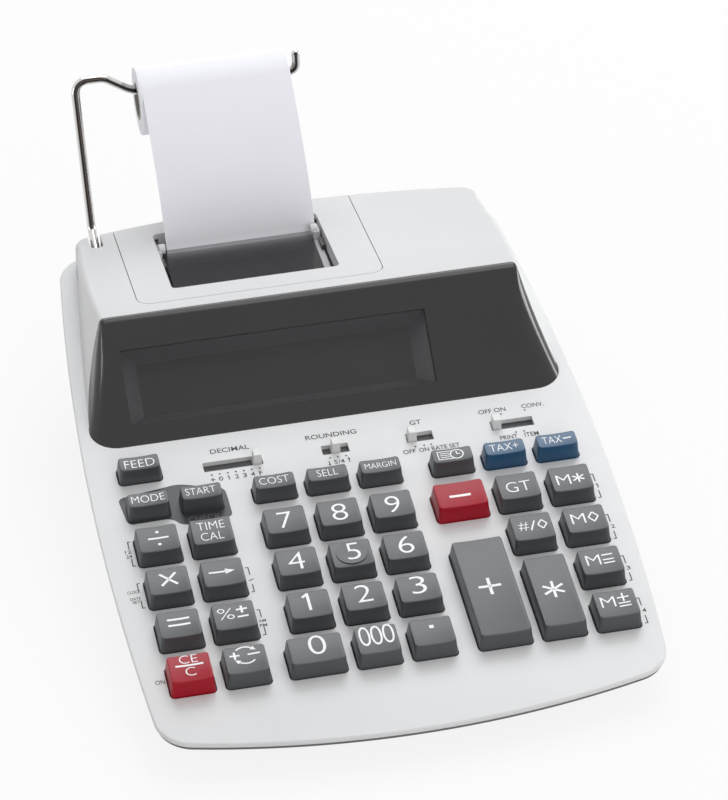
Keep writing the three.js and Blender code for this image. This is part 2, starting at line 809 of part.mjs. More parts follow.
// Smoked window: the front of the hump as a thin tray, open behind
const windowShell = solidOf(hump(0, windowRebate - gap))
  .subtract(solidOf(hump(windowThickness, rimHeight)))
  .intersect(solidOf(windowWedge(0)));
addPiece("display_window", geometryOf(windowShell), "window");

// Display: a bezel with sloping walls that lead down to the glass, in the window's plane
const windowPlane = new THREE.Group();
windowPlane.position.set(0, humpFront, deckZ(humpFront));
windowPlane.rotation.x = windowAngle;
calculator.add(windowPlane);
const bezelFace = -windowThickness - 2 * gap;
const glassFace = bezelFace - recessDepth;
const ringBox = (width, height, z) => {
  const middle = recessFoot + recessHeight / 2;
  return [
    [displayCentreX - width / 2, middle - height / 2, z],
    [displayCentreX + width / 2, middle - height / 2, z],
    [displayCentreX + width / 2, middle + height / 2, z],
    [displayCentreX - width / 2, middle + height / 2, z],
  ];
};
const flare = overrun / recessDepth;
const wideMouth = recessWidth + (recessWidth - glassWidth) * flare;
const highMouth = recessHeight + (recessHeight - glassHeight) * flare;
const displayBody = solidOf(
  loft([
    ringBox(recessWidth + 2 * bezelRim, recessHeight + 2 * bezelRim, glassFace - displayBack),
    ringBox(recessWidth + 2 * bezelRim, recessHeight + 2 * bezelRim, bezelFace),
  ]),
).subtract(
  solidOf(
    loft([
      ringBox(glassWidth, glassHeight, glassFace),
      ringBox(wideMouth, highMouth, bezelFace + overrun),
    ]),
  ),
);
addPiece("display_module", geometryOf(displayBody), "display", windowPlane);

// Printer cover: the part of the hump's skin inside the seam, with the paper opening
const openingCut = roundedPrism(
  openingLeft,
  openingRight,
  openingFront,
  openingRear,
  openingCornerRadius,
  lipFloor,
  humpTopHeight + overrun,
);
const cover = solidOf(hump(0, windowRebate))
  .subtract(humpInside)
  .intersect(solidOf(coverPlan(0, lipFloor, humpTopHeight + overrun)))
  .subtract(solidOf(openingCut));
addPiece("printer_cover", geometryOf(cover), "case");

// Keys stand in their wells and are kept by a flange under the deck
for (const key of keys) {
  let geometry = keyGeometry(key.width, key.depth);
  if (key.name === "key_5") {
    const tipFoot = tipRadius + tipHeight / 2;
    const tip = new THREE.CylinderGeometry(tipRadius, tipFoot, 2 * tipHeight, 2 * shaftSides);
    tip.rotateX(Math.PI / 2);
    tip.translate(0, (keyTaperFront + key.depth - keyTaperRear) / 2, keyHeight - dishDepth);
    geometry = geometryOf(solidOf(geometry).add(solidOf(tip)));
  }
  const mesh = addPiece(key.name, geometry, key.colour, deck);
  mesh.position.set(key.x, key.front, 0);
}

// Slide switch knobs, each with the strip that closes its slot from below
for (const s of switches) {
  const stripTop = -rimHeight - gap;
  const half = knobWidth / 2;
  const depth = slotDepth / 2 - gap;
  const knobRing = (margin, z) => [
    [-half + margin, -depth + margin, z],
    [half - margin, -depth + margin, z],
    [half - margin, depth - margin, z],
    [-half + margin, depth - margin, z],
  ];
  const knob = loft([
    knobRing(0, stripTop - stripThickness / 2),
    knobRing(0, 0),
    knobRing(knobTaper, knobHeight),
  ]);
  const side = slotDepth / 2 + stripSideways;
  const near = half + stripSideways;
  const far = half + s.travel * stripTailShare;
  const left = s.tail < 0 ? -far : -near;
  const right = s.tail < 0 ? near : far;
  const strip = boxBetween([left, -side, stripTop - stripThickness], [right, side, stripTop]);
  const mesh = addPiece(s.name, geometryOf(solidOf(knob).add(solidOf(strip))), "case", deck);
  mesh.position.set(s.knob, slotRow, 0);
}

// Rubber sheet with a dome under every key, and the circuit board it lies on
const domeTop = -rimHeight - gap - keyFlangeThickness - keyTravel - gap;
const sheetTop = domeTop - domeHeight;
const boardTop = sheetTop - sheetThickness - gap;
const domeDepth = domeHeight + sheetThickness / 2;
const domes = keys.map((key) => {
  const dome = new THREE.CylinderGeometry(domeRadius / 2, domeRadius, domeDepth, domeSides);
  dome.rotateX(Math.PI / 2);
  dome.translate(key.x, key.front + key.depth / 2, domeTop - domeDepth / 2);
  return dome;
});
const sheetSlab = boxBetween(
  [-boardHalfWidth, boardFront, sheetTop - sheetThickness],
  [boardHalfWidth, boardRear, sheetTop],
);
addPiece("key_membrane", geometryOf(joined([sheetSlab, ...domes].map(solidOf))), "sheet", deck);
const board = boxBetween(
  [-boardHalfWidth, boardFront, boardTop - boardThickness],
  [boardHalfWidth, boardRear, boardTop],
);
addPiece("main_board", board, "board", deck);

// Lower case: an undercut tub with its floor, feet, board ribs and cord gland
const parting = (y) => deckZ(y) - rimHeight - gap;
const sideInset = (y) => baseInset + (parting(y) - floorHeight) * sideTuck;
function floorRing(extra, z) {
  const front = frontTuck + extra;
  const rear = sideInset(caseDepth) + extra;
  return bodyOutline.map((p) => {
    const narrower = 1 - (sideInset(p.y) + extra) / caseHalfWidth;
    return [p.x * narrower, front + p.y * (1 - (front + rear) / caseDepth), z];
  });
}
const tub = solidOf(
  loft([
    floorRing(floorRound, floorHeight),
    floorRing(0, floorHeight + floorRound),
    bodyRing(baseInset, parting),
  ]),
);
const tubInside = solidOf(
  loft([
    floorRing(tubWall, floorHeight + wall),
    bodyRing(baseInset + tubWall, (y) => parting(y) + overrun),
  ]),
);
const footRise = floorHeight + wall / 2;
const feet = [frontFootY, rearFootY].flatMap((y) =>
  [-footX, footX].map((x) => {
    const foot = new THREE.CylinderGeometry(footRadius, footRadius, footRise, shaftSides);
    foot.rotateX(Math.PI / 2);
    foot.translate(x, y, footRise / 2);
    return foot;
  }),
);
const boardUnder = (y) => deckZ(y) + (boardTop - boardThickness - gap) / Math.cos(deckSlope);
const ribs = [-ribX, 0, ribX].map((x) => {
  const front = boardFront + overrun;
  const rear = boardRear * Math.cos(deckSlope);
  return alongX(
    [
      [front, footRise],
      [rear, footRise],
      [rear, boardUnder(rear)],
      [front, boardUnder(front)],
    ],
    x - ribThickness / 2,
    x + ribThickness / 2,
  );
});
const glandY = caseDepth - glandX ** 2 / (2 * rearArcRadius) - baseInset;
const glandWallY = glandY - (deckZ(glandY) - rimHeight - glandHeight) * sideTuck;
const glandLength = wall + 2 * glandProud;
const glandStub = new THREE.CylinderGeometry(glandRadius, glandRadius, glandLength, shaftSides);
glandStub.translate(glandX, glandWallY - wall / 2, glandHeight);
const glandHole = new THREE.CylinderGeometry(glandBore, glandBore, 2 * glandLength, roundSides);
glandHole.translate(glandX, glandWallY - wall / 2, glandHeight);
const lowerCase = tub
  .subtract(tubInside)
  .add(joined([...feet, ...ribs, glandStub].map(solidOf)))
  .subtract(solidOf(glandHole));
addPiece("bottom_case", geometryOf(lowerCase), "case");

// Paper: the loose strip, and the roll on its card core
const webProfile = [...webLine(paperThickness), ...webLine(0).reverse()];
const web = alongX(webProfile, webLow, webHigh);
addPiece("paper_web", web, "paper");
const rollProfile = [
  [coreRadius, -paperWidth / 2],
  [rollRadius, -paperWidth / 2],
  [rollRadius, paperWidth / 2],
  [coreRadius, paperWidth / 2],
  [coreRadius, -paperWidth / 2],
].map(([x, y]) => new THREE.Vector2(x, y));
const roll = addPiece("paper_roll", new THREE.LatheGeometry(rollProfile, 24), "paper");
roll.rotation.z = Math.PI / 2;
roll.position.set(webX, rollY, rollHeight);

// A rod bent round its corner points, with rings only where it turns
class BentRod extends THREE.Curve {
  constructor(corners, radius, turns = 3) {
    super();
    this.places = [corners[0]];
    this.headings = [corners[1].clone().sub(corners[0]).normalize()];
    for (let i = 1; i + 1 < corners.length; i++) {
      const into = corners[i].clone().sub(corners[i - 1]);
      const out = corners[i + 1].clone().sub(corners[i]);
      const angle = into.angleTo(out);
      const reach = Math.min(radius * Math.tan(angle / 2), into.length() / 2, out.length() / 2);
      const start = corners[i].clone().addScaledVector(into.normalize(), -reach);
      const end = corners[i].clone().addScaledVector(out.normalize(), reach);
      const bend = new THREE.QuadraticBezierCurve3(start, corners[i], end);
      for (let k = 0; k <= turns; k++) {
        this.places.push(bend.getPoint(k / turns));
        this.headings.push(bend.getTangent(k / turns));
      }
    }
    const [before, end] = corners.slice(-2);
    this.places.push(end);
    this.headings.push(end.clone().sub(before).normalize());
  }
  station(u) {
    return Math.round(u * (this.places.length - 1));
  }
  getPointAt(u) {
    return this.places[this.station(u)].clone();
  }
  getTangentAt(u) {
    return this.headings[this.station(u)].clone();
  }
}

// Wire arm: pivot end in the lug, back through the notch, up the post, over and through the core
const inArmPlane = (x, rise) =>
  new THREE.Vector3(x, armFootY + rise * Math.sin(armLean), armFootHeight + rise * Math.cos(armLean));
const axleHeight = rollHeight + coreRadius - wireRadius - gap;
const axle = (x, rise = 0) => new THREE.Vector3(x, rollY, axleHeight + rise);
const armPath = new BentRod(
  [
    new THREE.Vector3(armX + pivotReach, pivotY, pivotHeight),
    new THREE.Vector3(armX, pivotY, pivotHeight),
    inArmPlane(armX, 0),
    inArmPlane(armX, armRise),
    inArmPlane(armTopX, armRise),
    axle(armShoulderX),
    axle(hookX),
    axle(hookX, hookRise),
  ],
  bendRadius,
);
const wireSection = new THREE.Shape();
wireSection.absarc(0, 0, wireRadius, 0, 2 * Math.PI);
const armSteps = armPath.places.length - 1;
const arm = new THREE.ExtrudeGeometry(wireSection, {
  steps: armSteps,
  curveSegments: roundSides / 2,
  extrudePath: armPath,
});
addPiece("paper_arm", arm, "chrome");

// Printer frame: two side plates joined by a shelf and the carriage's shaft, with a ledge and an
// ear at each end of the tear bar
const plateLeft = openingLeft - gap;
const plateRight = openingRight + gap;
const floorTop = floorHeight + wall + gap;
const cheekOutline = [
  [frameFront, frameShelf],
  [frameFront + frameShelf / 2, floorTop],
  [frameFront + frameShelf, floorTop],
  [frameFront + frameShelf + frameWall, frameShelf / 2],
  [frameFootRear - frameShelf / 2, frameShelf / 2],
  [frameFootRear - frameShelf / 3, floorTop],
  [frameFootRear, floorTop],
  [frameRear, frameShelf],
  [frameRear, frameTop - platenBelow / 2],
  [tearEdgeY, frameTop - platenBelow / 3],
  [tearEdgeY - platenRadius, frameTop],
  [frameFront, frameTop],
];
const cheeks = [plateLeft - frameWall, plateRight].map((x) => alongX(cheekOutline, x, x + frameWall));
const midLeft = plateLeft - frameWall / 2;
const midRight = plateRight + frameWall / 2;
const shelf = boxBetween(
  [midLeft, frameFront + overrun, frameShelf],
  [midRight, frameRear - overrun, frameShelf + frameWall],
);
const carriageShaft = barAlongX(shaftRadius, midLeft, midRight, shaftY, shaftHeight);
const motorDistance = (gearModule * (platenTeeth + pinionTeeth)) / 2;
const motorY = platenCentreY + motorDistance * Math.cos(motorAngle);
const motorZ = platenCentreZ + motorDistance * Math.sin(motorAngle);
const boreEnd = plateRight + 2 * frameWall;
const motorBore = motorShaftRadius + gap;
const cheekBores = [
  barAlongX(journalRadius + gap, plateLeft - 2 * frameWall, boreEnd, platenCentreY, platenCentreZ),
  barAlongX(motorBore, plateRight - frameWall, boreEnd, motorY, motorZ, roundSides),
];
const tearLow = webLow - 2 * gap;
const tearHigh = webHigh + 2 * gap;
const tearEnds = [
  [midLeft, openingLeft + gap, tearLow - gap],
  [midRight, openingRight - gap, tearHigh + gap],
].flatMap(([root, outer, inner]) => {
  const [low, high] = [Math.min(outer, inner), Math.max(outer, inner)];
  const earFront = ledgeRear - earDepth;
  return [
    boxBetween(
      [Math.min(root, inner), frameFront, ledgeTop - wall],
      [Math.max(root, inner), ledgeRear, ledgeTop],
    ),
    boxBetween([low, earFront, ledgeTop - overrun], [high, ledgeRear, ledgeTop + earRise]),
    barAlongX(bossRadius, low, high, ledgeRear, ledgeTop + bossRadius, roundSides),
  ];
});
const printerFrame = joined([...cheeks, shelf, carriageShaft, ...tearEnds].map(solidOf)).subtract(
  joined(cheekBores.map(solidOf)),
);
addPiece("printer_frame", geometryOf(printerFrame), "frame");

// A spur gear seen along X, with straight-flanked teeth
function gearSolid(teeth, low, high, y, z, turn) {
  const pitchRadius = (gearModule * teeth) / 2;
  const tip = pitchRadius + gearModule * tipShare;
  const root = pitchRadius - gearModule * rootShare;
  const step = (2 * Math.PI) / teeth;
  const flankShares = [
    [-0.31, root],
    [-0.12, tip],
    [0.12, tip],
    [0.31, root],
  ];
  const points = [];
  for (let tooth = 0; tooth < teeth; tooth++) {
    for (const [share, radius] of flankShares) {
      const angle = turn + step * (tooth + share);
      points.push([y + radius * Math.cos(angle), z + radius * Math.sin(angle)]);
    }
  }
  return solidOf(alongX(points, low, high));
}

// Platen roller with its journals and, outside the right plate, the feed gear
const gearLow = plateRight + frameWall + gearOffset;
const rollerLow = webLow - gap;
const rollerHigh = webHigh + gap;
const gearHigh = gearLow + gearWidth;
const journalLow = plateLeft - frameWall - overrun;
const platen = joined([
  solidOf(barAlongX(platenRadius, rollerLow, rollerHigh, platenCentreY, platenCentreZ, 20)),
  solidOf(barAlongX(journalRadius, journalLow, gearHigh, platenCentreY, platenCentreZ)),
  gearSolid(platenTeeth, gearLow, gearHigh, platenCentreY, platenCentreZ, motorAngle),
]);
addPiece("platen_roller", geometryOf(platen), "rubber");

// Motor on the right plate, and the pinion on its shaft
const motorHigh = plateRight - gap;
const motorCan = solidOf(barAlongX(motorRadius, motorHigh - motorLength, motorHigh, motorY, motorZ, 16));
const boreLow = motorHigh - motorLength / 2;
const shaftBore = barAlongX(motorBore, boreLow, motorHigh + overrun, motorY, motorZ, roundSides);
addPiece("drive_motor", geometryOf(motorCan.subtract(solidOf(shaftBore))), "steel");
const pinionTurn = motorAngle + Math.PI + Math.PI / pinionTeeth;
const pinion = joined([
  gearSolid(pinionTeeth, gearLow, gearHigh, motorY, motorZ, pinionTurn),
  solidOf(barAlongX(motorShaftRadius, boreLow + gap, gearHigh, motorY, motorZ, roundSides)),
]);
addPiece("motor_pinion", geometryOf(pinion), "steel");

// Print carriage: rides on the shaft, with a type wheel at the paper and ears for the ink roller
const carriageLow = plateLeft + carriageHome;
const carriageHigh = carriageLow + carriageWidth;
const wheelY = platenCentreY - platenRadius - 3 * gap - paperThickness - typeWheelRadius;
const carriageMiddle = (carriageLow + carriageHigh) / 2;
const wheelLow = carriageMiddle - carriageWidth / 6;
const wheelHigh = carriageMiddle + carriageWidth / 6;
const sleeve = shaftRadius + gap + wall;
const carriageBlock = alongX(
  [
    [shaftY - sleeve, shaftHeight - sleeve],
    [wheelY, shaftHeight - sleeve],
    [wheelY, platenCentreZ],
    [shaftY + sleeve, platenCentreZ],
    [shaftY - sleeve, shaftHeight + sleeve],
  ],
  carriageLow,
  carriageHigh,
);
const earTop = inkHeight + inkPin + gap + overrun;
const ears = [carriageLow, carriageHigh - frameWall].map((x) =>
  alongX(
    [
      [inkY - inkPin * 2, shaftHeight],
      [inkY + inkPin * 2, shaftHeight],
      [inkY + inkPin * 2, earTop],
      [inkY - inkPin * 2, earTop],
    ],
    x,
    x + frameWall,
  ),
);
const typeWheel = barAlongX(typeWheelRadius, wheelLow, wheelHigh, wheelY, platenCentreZ, 16);
const boreStart = carriageLow - overrun;
const boreStop = carriageHigh + overrun;
const carriageBores = [
  barAlongX(shaftRadius + gap, boreStart, boreStop, shaftY, shaftHeight),
  barAlongX(inkPin + gap, boreStart, boreStop, inkY, inkHeight, roundSides),
];
const carriage = joined([carriageBlock, ...ears, typeWheel].map(solidOf)).subtract(
  joined(carriageBores.map(solidOf)),
);
addPiece("print_carriage", geometryOf(carriage), "rubber");
const inkLow = carriageMiddle - inkWidth / 2;
const ink = joined([
  solidOf(barAlongX(inkRadius, inkLow, inkLow + inkWidth, inkY, inkHeight)),
  solidOf(barAlongX(inkPin, carriageLow, carriageHigh, inkY, inkHeight, roundSides)),
]);
addPiece("ink_roller", geometryOf(ink), "ink");

// Smoked tear bar over the printer, with a toothed edge in front of the paper
const tearFrontY = openingFront + overrun;
const tearSpan = tearEdgeY - tearFrontY;
const tearSteps = 5;
const tearLine = (reach, drop) =>
  Array.from({ length: tearSteps + 1 }, (_, i) => {
    const along = i / tearSteps;
    const rise = tearArch * 4 * along * (1 - along) - tearFall * (1 - along);
    return [tearFrontY + reach * along, tearEdgeHeight + rise - drop];
  });
const tearUnderside = tearLine(tearSpan - tearBarThickness, tearBarThickness);
const tearBlade = solidOf(
  alongX([...tearUnderside, ...tearLine(tearSpan, 0).reverse()], tearLow, tearHigh),
);
const toothPitch = (tearHigh - tearLow) / tearTeeth;
const toothShape = new THREE.Shape();
toothShape.moveTo(tearLow - overrun, tearEdgeHeight + overrun);
toothShape.lineTo(tearLow, tearEdgeHeight - toothHeight);
for (let tooth = 0; tooth < tearTeeth; tooth++) {
  toothShape.lineTo(tearLow + toothPitch * (tooth + 1 / 2), tearEdgeHeight);
  toothShape.lineTo(tearLow + toothPitch * (tooth + 1), tearEdgeHeight - toothHeight);
}
toothShape.lineTo(tearHigh + overrun, tearEdgeHeight + overrun);
const toothCut = new THREE.ExtrudeGeometry(toothShape, { depth: tearSpan / 4, bevelEnabled: false });
toothCut.rotateX(Math.PI / 2);
toothCut.translate(0, tearEdgeY + overrun, 0);
addPiece("tear_bar", geometryOf(tearBlade.subtract(solidOf(toothCut))), "window");

// Transformer: a laminated core with its coil
const coreLeft = plateRight + frameWall + coreClearance;
const coreRight = caseHalfWidth - coreFromSide;
const coilInset = (coreRight - coreLeft) * coilInsetShare;
const transformer = joined(
  [
    boxBetween(
      [coreLeft, transformerY - coreDepth / 2, floorTop],
      [coreRight, transformerY + coreDepth / 2, floorTop + coreHeight],
    ),
    boxBetween(
      [coreLeft + coilInset, transformerY - coilDepth / 2, floorTop + coilInset],
      [coreRight - coilInset, transformerY + coilDepth / 2, floorTop + coreHeight - coilInset],
    ),
  ].map(solidOf),
);
addPiece("transformer", geometryOf(transformer), "steel");

// The origin is under the middle of the whole calculator
const middle = new THREE.Box3().setFromObject(calculator).getCenter(new THREE.Vector3());
calculator.position.y = -middle.y;

export default calculator;
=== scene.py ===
import math
import bpy
import bmesh
from mathutils import Matrix, Vector


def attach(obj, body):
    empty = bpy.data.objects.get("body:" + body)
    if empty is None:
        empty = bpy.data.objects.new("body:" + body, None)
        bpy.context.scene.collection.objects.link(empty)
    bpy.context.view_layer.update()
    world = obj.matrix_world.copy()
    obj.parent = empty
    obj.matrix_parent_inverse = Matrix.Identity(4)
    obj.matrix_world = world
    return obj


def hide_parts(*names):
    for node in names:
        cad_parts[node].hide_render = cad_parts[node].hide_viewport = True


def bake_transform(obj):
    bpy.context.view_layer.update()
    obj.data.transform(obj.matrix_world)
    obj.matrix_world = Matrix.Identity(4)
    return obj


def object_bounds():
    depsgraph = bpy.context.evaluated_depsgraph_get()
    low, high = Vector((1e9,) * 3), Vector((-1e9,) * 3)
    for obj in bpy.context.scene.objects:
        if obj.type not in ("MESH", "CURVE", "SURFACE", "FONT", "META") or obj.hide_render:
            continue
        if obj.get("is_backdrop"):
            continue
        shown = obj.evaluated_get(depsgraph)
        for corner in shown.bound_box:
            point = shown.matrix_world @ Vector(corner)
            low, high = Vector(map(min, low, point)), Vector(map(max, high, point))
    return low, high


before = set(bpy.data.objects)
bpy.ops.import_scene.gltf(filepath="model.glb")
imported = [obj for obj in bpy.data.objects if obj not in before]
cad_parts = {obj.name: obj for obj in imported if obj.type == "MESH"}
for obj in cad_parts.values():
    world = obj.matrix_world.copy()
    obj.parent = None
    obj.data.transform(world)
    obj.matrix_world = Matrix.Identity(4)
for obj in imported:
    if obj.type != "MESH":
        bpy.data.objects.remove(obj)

cad_low, cad_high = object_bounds()

# Camera: a long lens looking down on the keyboard from the front and a little from the left,
# where the photographer stood. The calculator's own front edge is the zero of its depth.
whole_depth = 0.3028
front_edge = cad_high.y - whole_depth
camera_data = bpy.data.cameras.new("studio_camera")
camera_data.lens = 186.09
camera_data.clip_end = 30
camera = bpy.data.objects.new("studio_camera", camera_data)
look_right = Vector((0.979025, -0.200164, -0.037995)).normalized()
look_up = Vector((0.139921, 0.525013, 0.839514)).normalized()
look_back = look_right.cross(look_up).normalized()
look_up = look_back.cross(look_right)
turned = Matrix((look_right, look_up, look_back)).transposed()
camera.matrix_world = Matrix.Translation((-0.208199, front_edge - 1.071818, 0.848773)) @ turned.to_4x4()
bpy.context.scene.collection.objects.link(camera)
bpy.context.scene.camera = camera
bpy.context.scene.view_settings.view_transform = "Standard"

# Table and light: a white sheet under a wide soft box overhead, a tall one behind the calculator
# that glazes its upper faces, and a weak fill from the front left.


def as_piece(name, bm):
    """Makes a piece of a mesh, and links it into the scene."""
    mesh = bpy.data.meshes.new(name)
    bm.to_mesh(mesh)
    bm.free()
    piece = bpy.data.objects.new(name, mesh)
    bpy.context.scene.collection.objects.link(piece)
    return piece


table_reach = 4
bm = bmesh.new()
bmesh.ops.create_grid(bm, x_segments=1, y_segments=1, size=table_reach)
table_top = as_piece("table_top", bm)


def added(tree, kind, operation=None, second=None, **values):
    """A new shader node of a kind, with values for its sockets by name. A node that reckons has
    an operation, and may have a second term."""
    node = tree.nodes.new("ShaderNode" + kind)
    if operation:
        node.operation = operation
    if second is not None:
        node.inputs[1].default_value = second
    for socket, value in values.items():
        node.inputs[socket.replace("_", " ")].default_value = value
    return node


def wired(tree, *wires):
    """Joins sockets. Each wire is a node and its output, then a node and its input."""
    for source, output, target, entry in wires:
        tree.links.new(source.outputs[output], target.inputs[entry])


def seen_by_eye(tree):
    """Picks out the rays that look at the backdrop, straight or by way of metal and glass."""
    path = added(tree, "LightPath")
    either, whole = added(tree, "Math", "MAXIMUM"), added(tree, "Math", "MAXIMUM")
    wired(
        tree, (path, "Is Camera Ray", either, 0), (path, "Is Glossy Ray", either, 1),
        (either, 0, whole, 0), (path, "Is Transmission Ray", whole, 1))
    return whole


table_paint = bpy.data.materials.new("white_table")
table_paint.use_nodes = True
tree = table_paint.node_tree
tree.nodes.clear()
table_out, table_mix = added(tree, "OutputMaterial"), added(tree, "MixShader")
table_matt = added(tree, "BsdfDiffuse", Color=(0.8, 0.8, 0.8, 1))
table_glow = added(tree, "Emission", Color=(1, 1, 1, 1))
table_grain = added(tree, "TexNoise", Scale=300)
table_bump = added(tree, "Bump", Strength=0.02)
table_share = added(tree, "Math", "MULTIPLY", 0.86)
wired(
    tree, (table_grain, "Fac", table_bump, "Height"), (table_bump, "Normal", table_matt, "Normal"),
    (seen_by_eye(tree), 0, table_share, 0), (table_share, 0, table_mix, "Fac"),
    (table_matt, 0, table_mix, 1), (table_glow, 0, table_mix, 2), (table_mix, 0, table_out, "Surface"))
table_top.data.materials.append(table_paint)
table_top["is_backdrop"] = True

world = bpy.data.worlds.new("studio")
bpy.context.scene.world = world
world.use_nodes = True
tree = world.node_tree
tree.nodes.clear()
world_out, world_mix = added(tree, "OutputWorld"), added(tree, "MixShader")
world_fill = added(tree, "Background", Color=(0.97, 0.98, 1, 1), Strength=0.45)
world_white = added(tree, "Background", Color=(1, 1, 1, 1))
wired(
    tree, (seen_by_eye(tree), 0, world_mix, "Fac"), (world_fill, 0, world_mix, 1),
    (world_white, 0, world_mix, 2), (world_mix, 0, world_out, "Surface"))


def hang_lamp(name, place, aim, size, power, tint=(1, 1, 1)):
    lamp_data = bpy.data.lights.new(name, "AREA")
    lamp_data.shape = "RECTANGLE"
    lamp_data.size, lamp_data.size_y = size
    lamp_data.energy = power
    lamp_data.color = tint
    lamp = bpy.data.objects.new(name, lamp_data)
    lamp.location = place
    lamp.rotation_euler = (Vector(aim) - Vector(place)).to_track_quat("-Z", "Y").to_euler()
    bpy.context.scene.collection.objects.link(lamp)


hang_lamp("overhead_softbox", (0.35, 0.15, 1.4), (0, 0, 0), (0.9, 0.9), 4.6)
hang_lamp("rear_softbox", (0.24, 1.0, 1.15), (0, 0, 0.03), (1.3, 0.75), 10, (0.96, 0.98, 1))
hang_lamp("front_fill", (0.35, -1.5, 0.75), (0, 0, 0.05), (1.2, 0.8), 8.5)
hang_lamp("right_strip", (1.2, 0.2, 0.2), (0, 0.05, 0.05), (0.5, 0.35), 3.5)
hang_lamp("left_strip", (-1.2, 0.1, 0.3), (0, 0.05, 0.05), (0.12, 0.5), 1)

# Upper case: one injection moulding of pale grey ABS with a satin skin. Its deck slopes up from
# the user to the hump, its edge is rolled, and the hump carries the window and the printer.
mm = 0.001
case_wall, rim_height, deck_front_height = 2.2, 1.8, 12.4
deck_slope = math.radians(8.5)
half_width, side_radius, widest = 91.79, 1200, 120
rim_front, front_radius, rear_radius, case_depth, corner_radius = 2.5, 340, 350, 276, 14
hump_front, hump_top_front, hump_top_height = 160, 192.8, 70
hump_fall = math.radians(5.75)
hump_rear_draft, hump_rear_inset = math.radians(6), 1.4
hump_corner, hump_top_corner = 10, 1.2
hump_round, hump_drop, window_bevel, hump_root = 1.6, 1.6, 1.2, 0.5
past_front, past_rear, past_side, past_top = 148, 290, 92, 71


def deck_z(y):
    return deck_front_height + y * math.tan(deck_slope)


def top_z(y):
    return hump_top_height - (y - hump_top_front) * math.tan(hump_fall)


window_rise = (hump_top_height - deck_z(hump_front)) / (hump_top_front - hump_front)
window_angle = math.atan(window_rise)


def arc(centre, radius, start, stop, steps):
    """Points of an arc, each with the way that it faces."""
    turns = [start + (stop - start) * i / steps for i in range(steps + 1)]
    facing = [(math.cos(t), math.sin(t)) for t in turns]
    return [(centre[0] + radius * c, centre[1] + radius * s, c, s) for c, s in facing]


def corner_centre(end_y, end_radius, towards):
    a, b = end_radius - corner_radius, side_radius - corner_radius
    dx, dy = half_width - side_radius, widest - end_y
    distance = math.hypot(dx, dy)
    along = (a * a - b * b + distance * distance) / (2 * distance)
    across = math.sqrt(a * a - along * along) * towards
    return ((along * dx - across * dy) / distance, end_y + (along * dy + across * dx) / distance)


side_centre = (half_width - side_radius, widest)
front_centre, rear_centre = (0, rim_front + front_radius), (0, case_depth - rear_radius)
front_corner = corner_centre(front_centre[1], front_radius, 1)
rear_corner = corner_centre(rear_centre[1], rear_radius, -1)


def bearing(a, b):
    return math.atan2(b[1] - a[1], b[0] - a[0])


front_turn, rear_turn = bearing(front_centre, front_corner), bearing(rear_centre, rear_corner)
side_start, side_end = bearing(side_centre, front_corner), bearing(side_centre, rear_corner)


def mirrored(right):
    return right + [(-x, y, -nx, ny) for x, y, nx, ny in reversed(right)]


case_outline = mirrored(
    arc(front_centre, front_radius, -math.pi / 2 + (front_turn + math.pi / 2) / 25, front_turn, 12)
    + arc(front_corner, corner_radius, front_turn, side_start, 12)[1:]
    + arc(side_centre, side_radius, side_start, side_end, 24)[1:]
    + arc(rear_corner, corner_radius, side_end, rear_turn, 12)[1:]
    + arc(rear_centre, rear_radius, rear_turn, math.pi / 2 + (rear_turn - math.pi / 2) / 25, 12)[1:]
)


def in_place(x, y, z):
    return Vector((x * mm, y * mm + front_edge, z * mm))


def lofted(name, rings, looped=False):
    """A skin bridged over rings of points, in millimetres, with its two ends capped.
    A looped one joins its last ring to its first instead."""
    bm = bmesh.new()
    loops = []
    for ring in rings:
        verts = [bm.verts.new(in_place(*p)) for p in ring]
        loops.append([bm.edges.new((verts[i - 1], verts[i])) for i in range(len(verts))])
    for low, high in zip(loops, loops[1:] + loops[:1] * looped):
        bmesh.ops.bridge_loops(bm, edges=low + high)
    if not looped:
        bmesh.ops.contextual_create(bm, geom=loops[0])
        bmesh.ops.contextual_create(bm, geom=loops[-1])
    bmesh.ops.recalc_face_normals(bm, faces=bm.faces)
    return as_piece(name, bm)


def cut(piece, tool, operation="DIFFERENCE", keep=False):
    """Applies a boolean with the tool piece, and throws the tool away unless it is kept."""
    step = piece.modifiers.new("cut", "BOOLEAN")
    step.operation = operation
    step.object = tool
    step.solver = "EXACT"
    graph = bpy.context.evaluated_depsgraph_get()
    made = bpy.data.meshes.new_from_object(piece.evaluated_get(graph))
    piece.modifiers.clear()
    old, piece.data = piece.data, made
    bpy.data.meshes.remove(old)
    if not keep:
        bpy.data.objects.remove(tool)
    return piece


def case_ring(inset, height):
    return [(x - nx * inset, y - ny * inset, height(y - ny * inset)) for x, y, nx, ny in case_outline]


def below_deck(depth):
    return lambda y: deck_z(y) - depth


def half_width_at(y):
    return side_centre[0] + math.sqrt(side_radius ** 2 - (y - widest) ** 2)


def hump_inset(y, rise):
    back = y - hump_front
    return 4.15 + 0.028 * back + rise * max(0.377 - 0.00325 * back, 0.03)


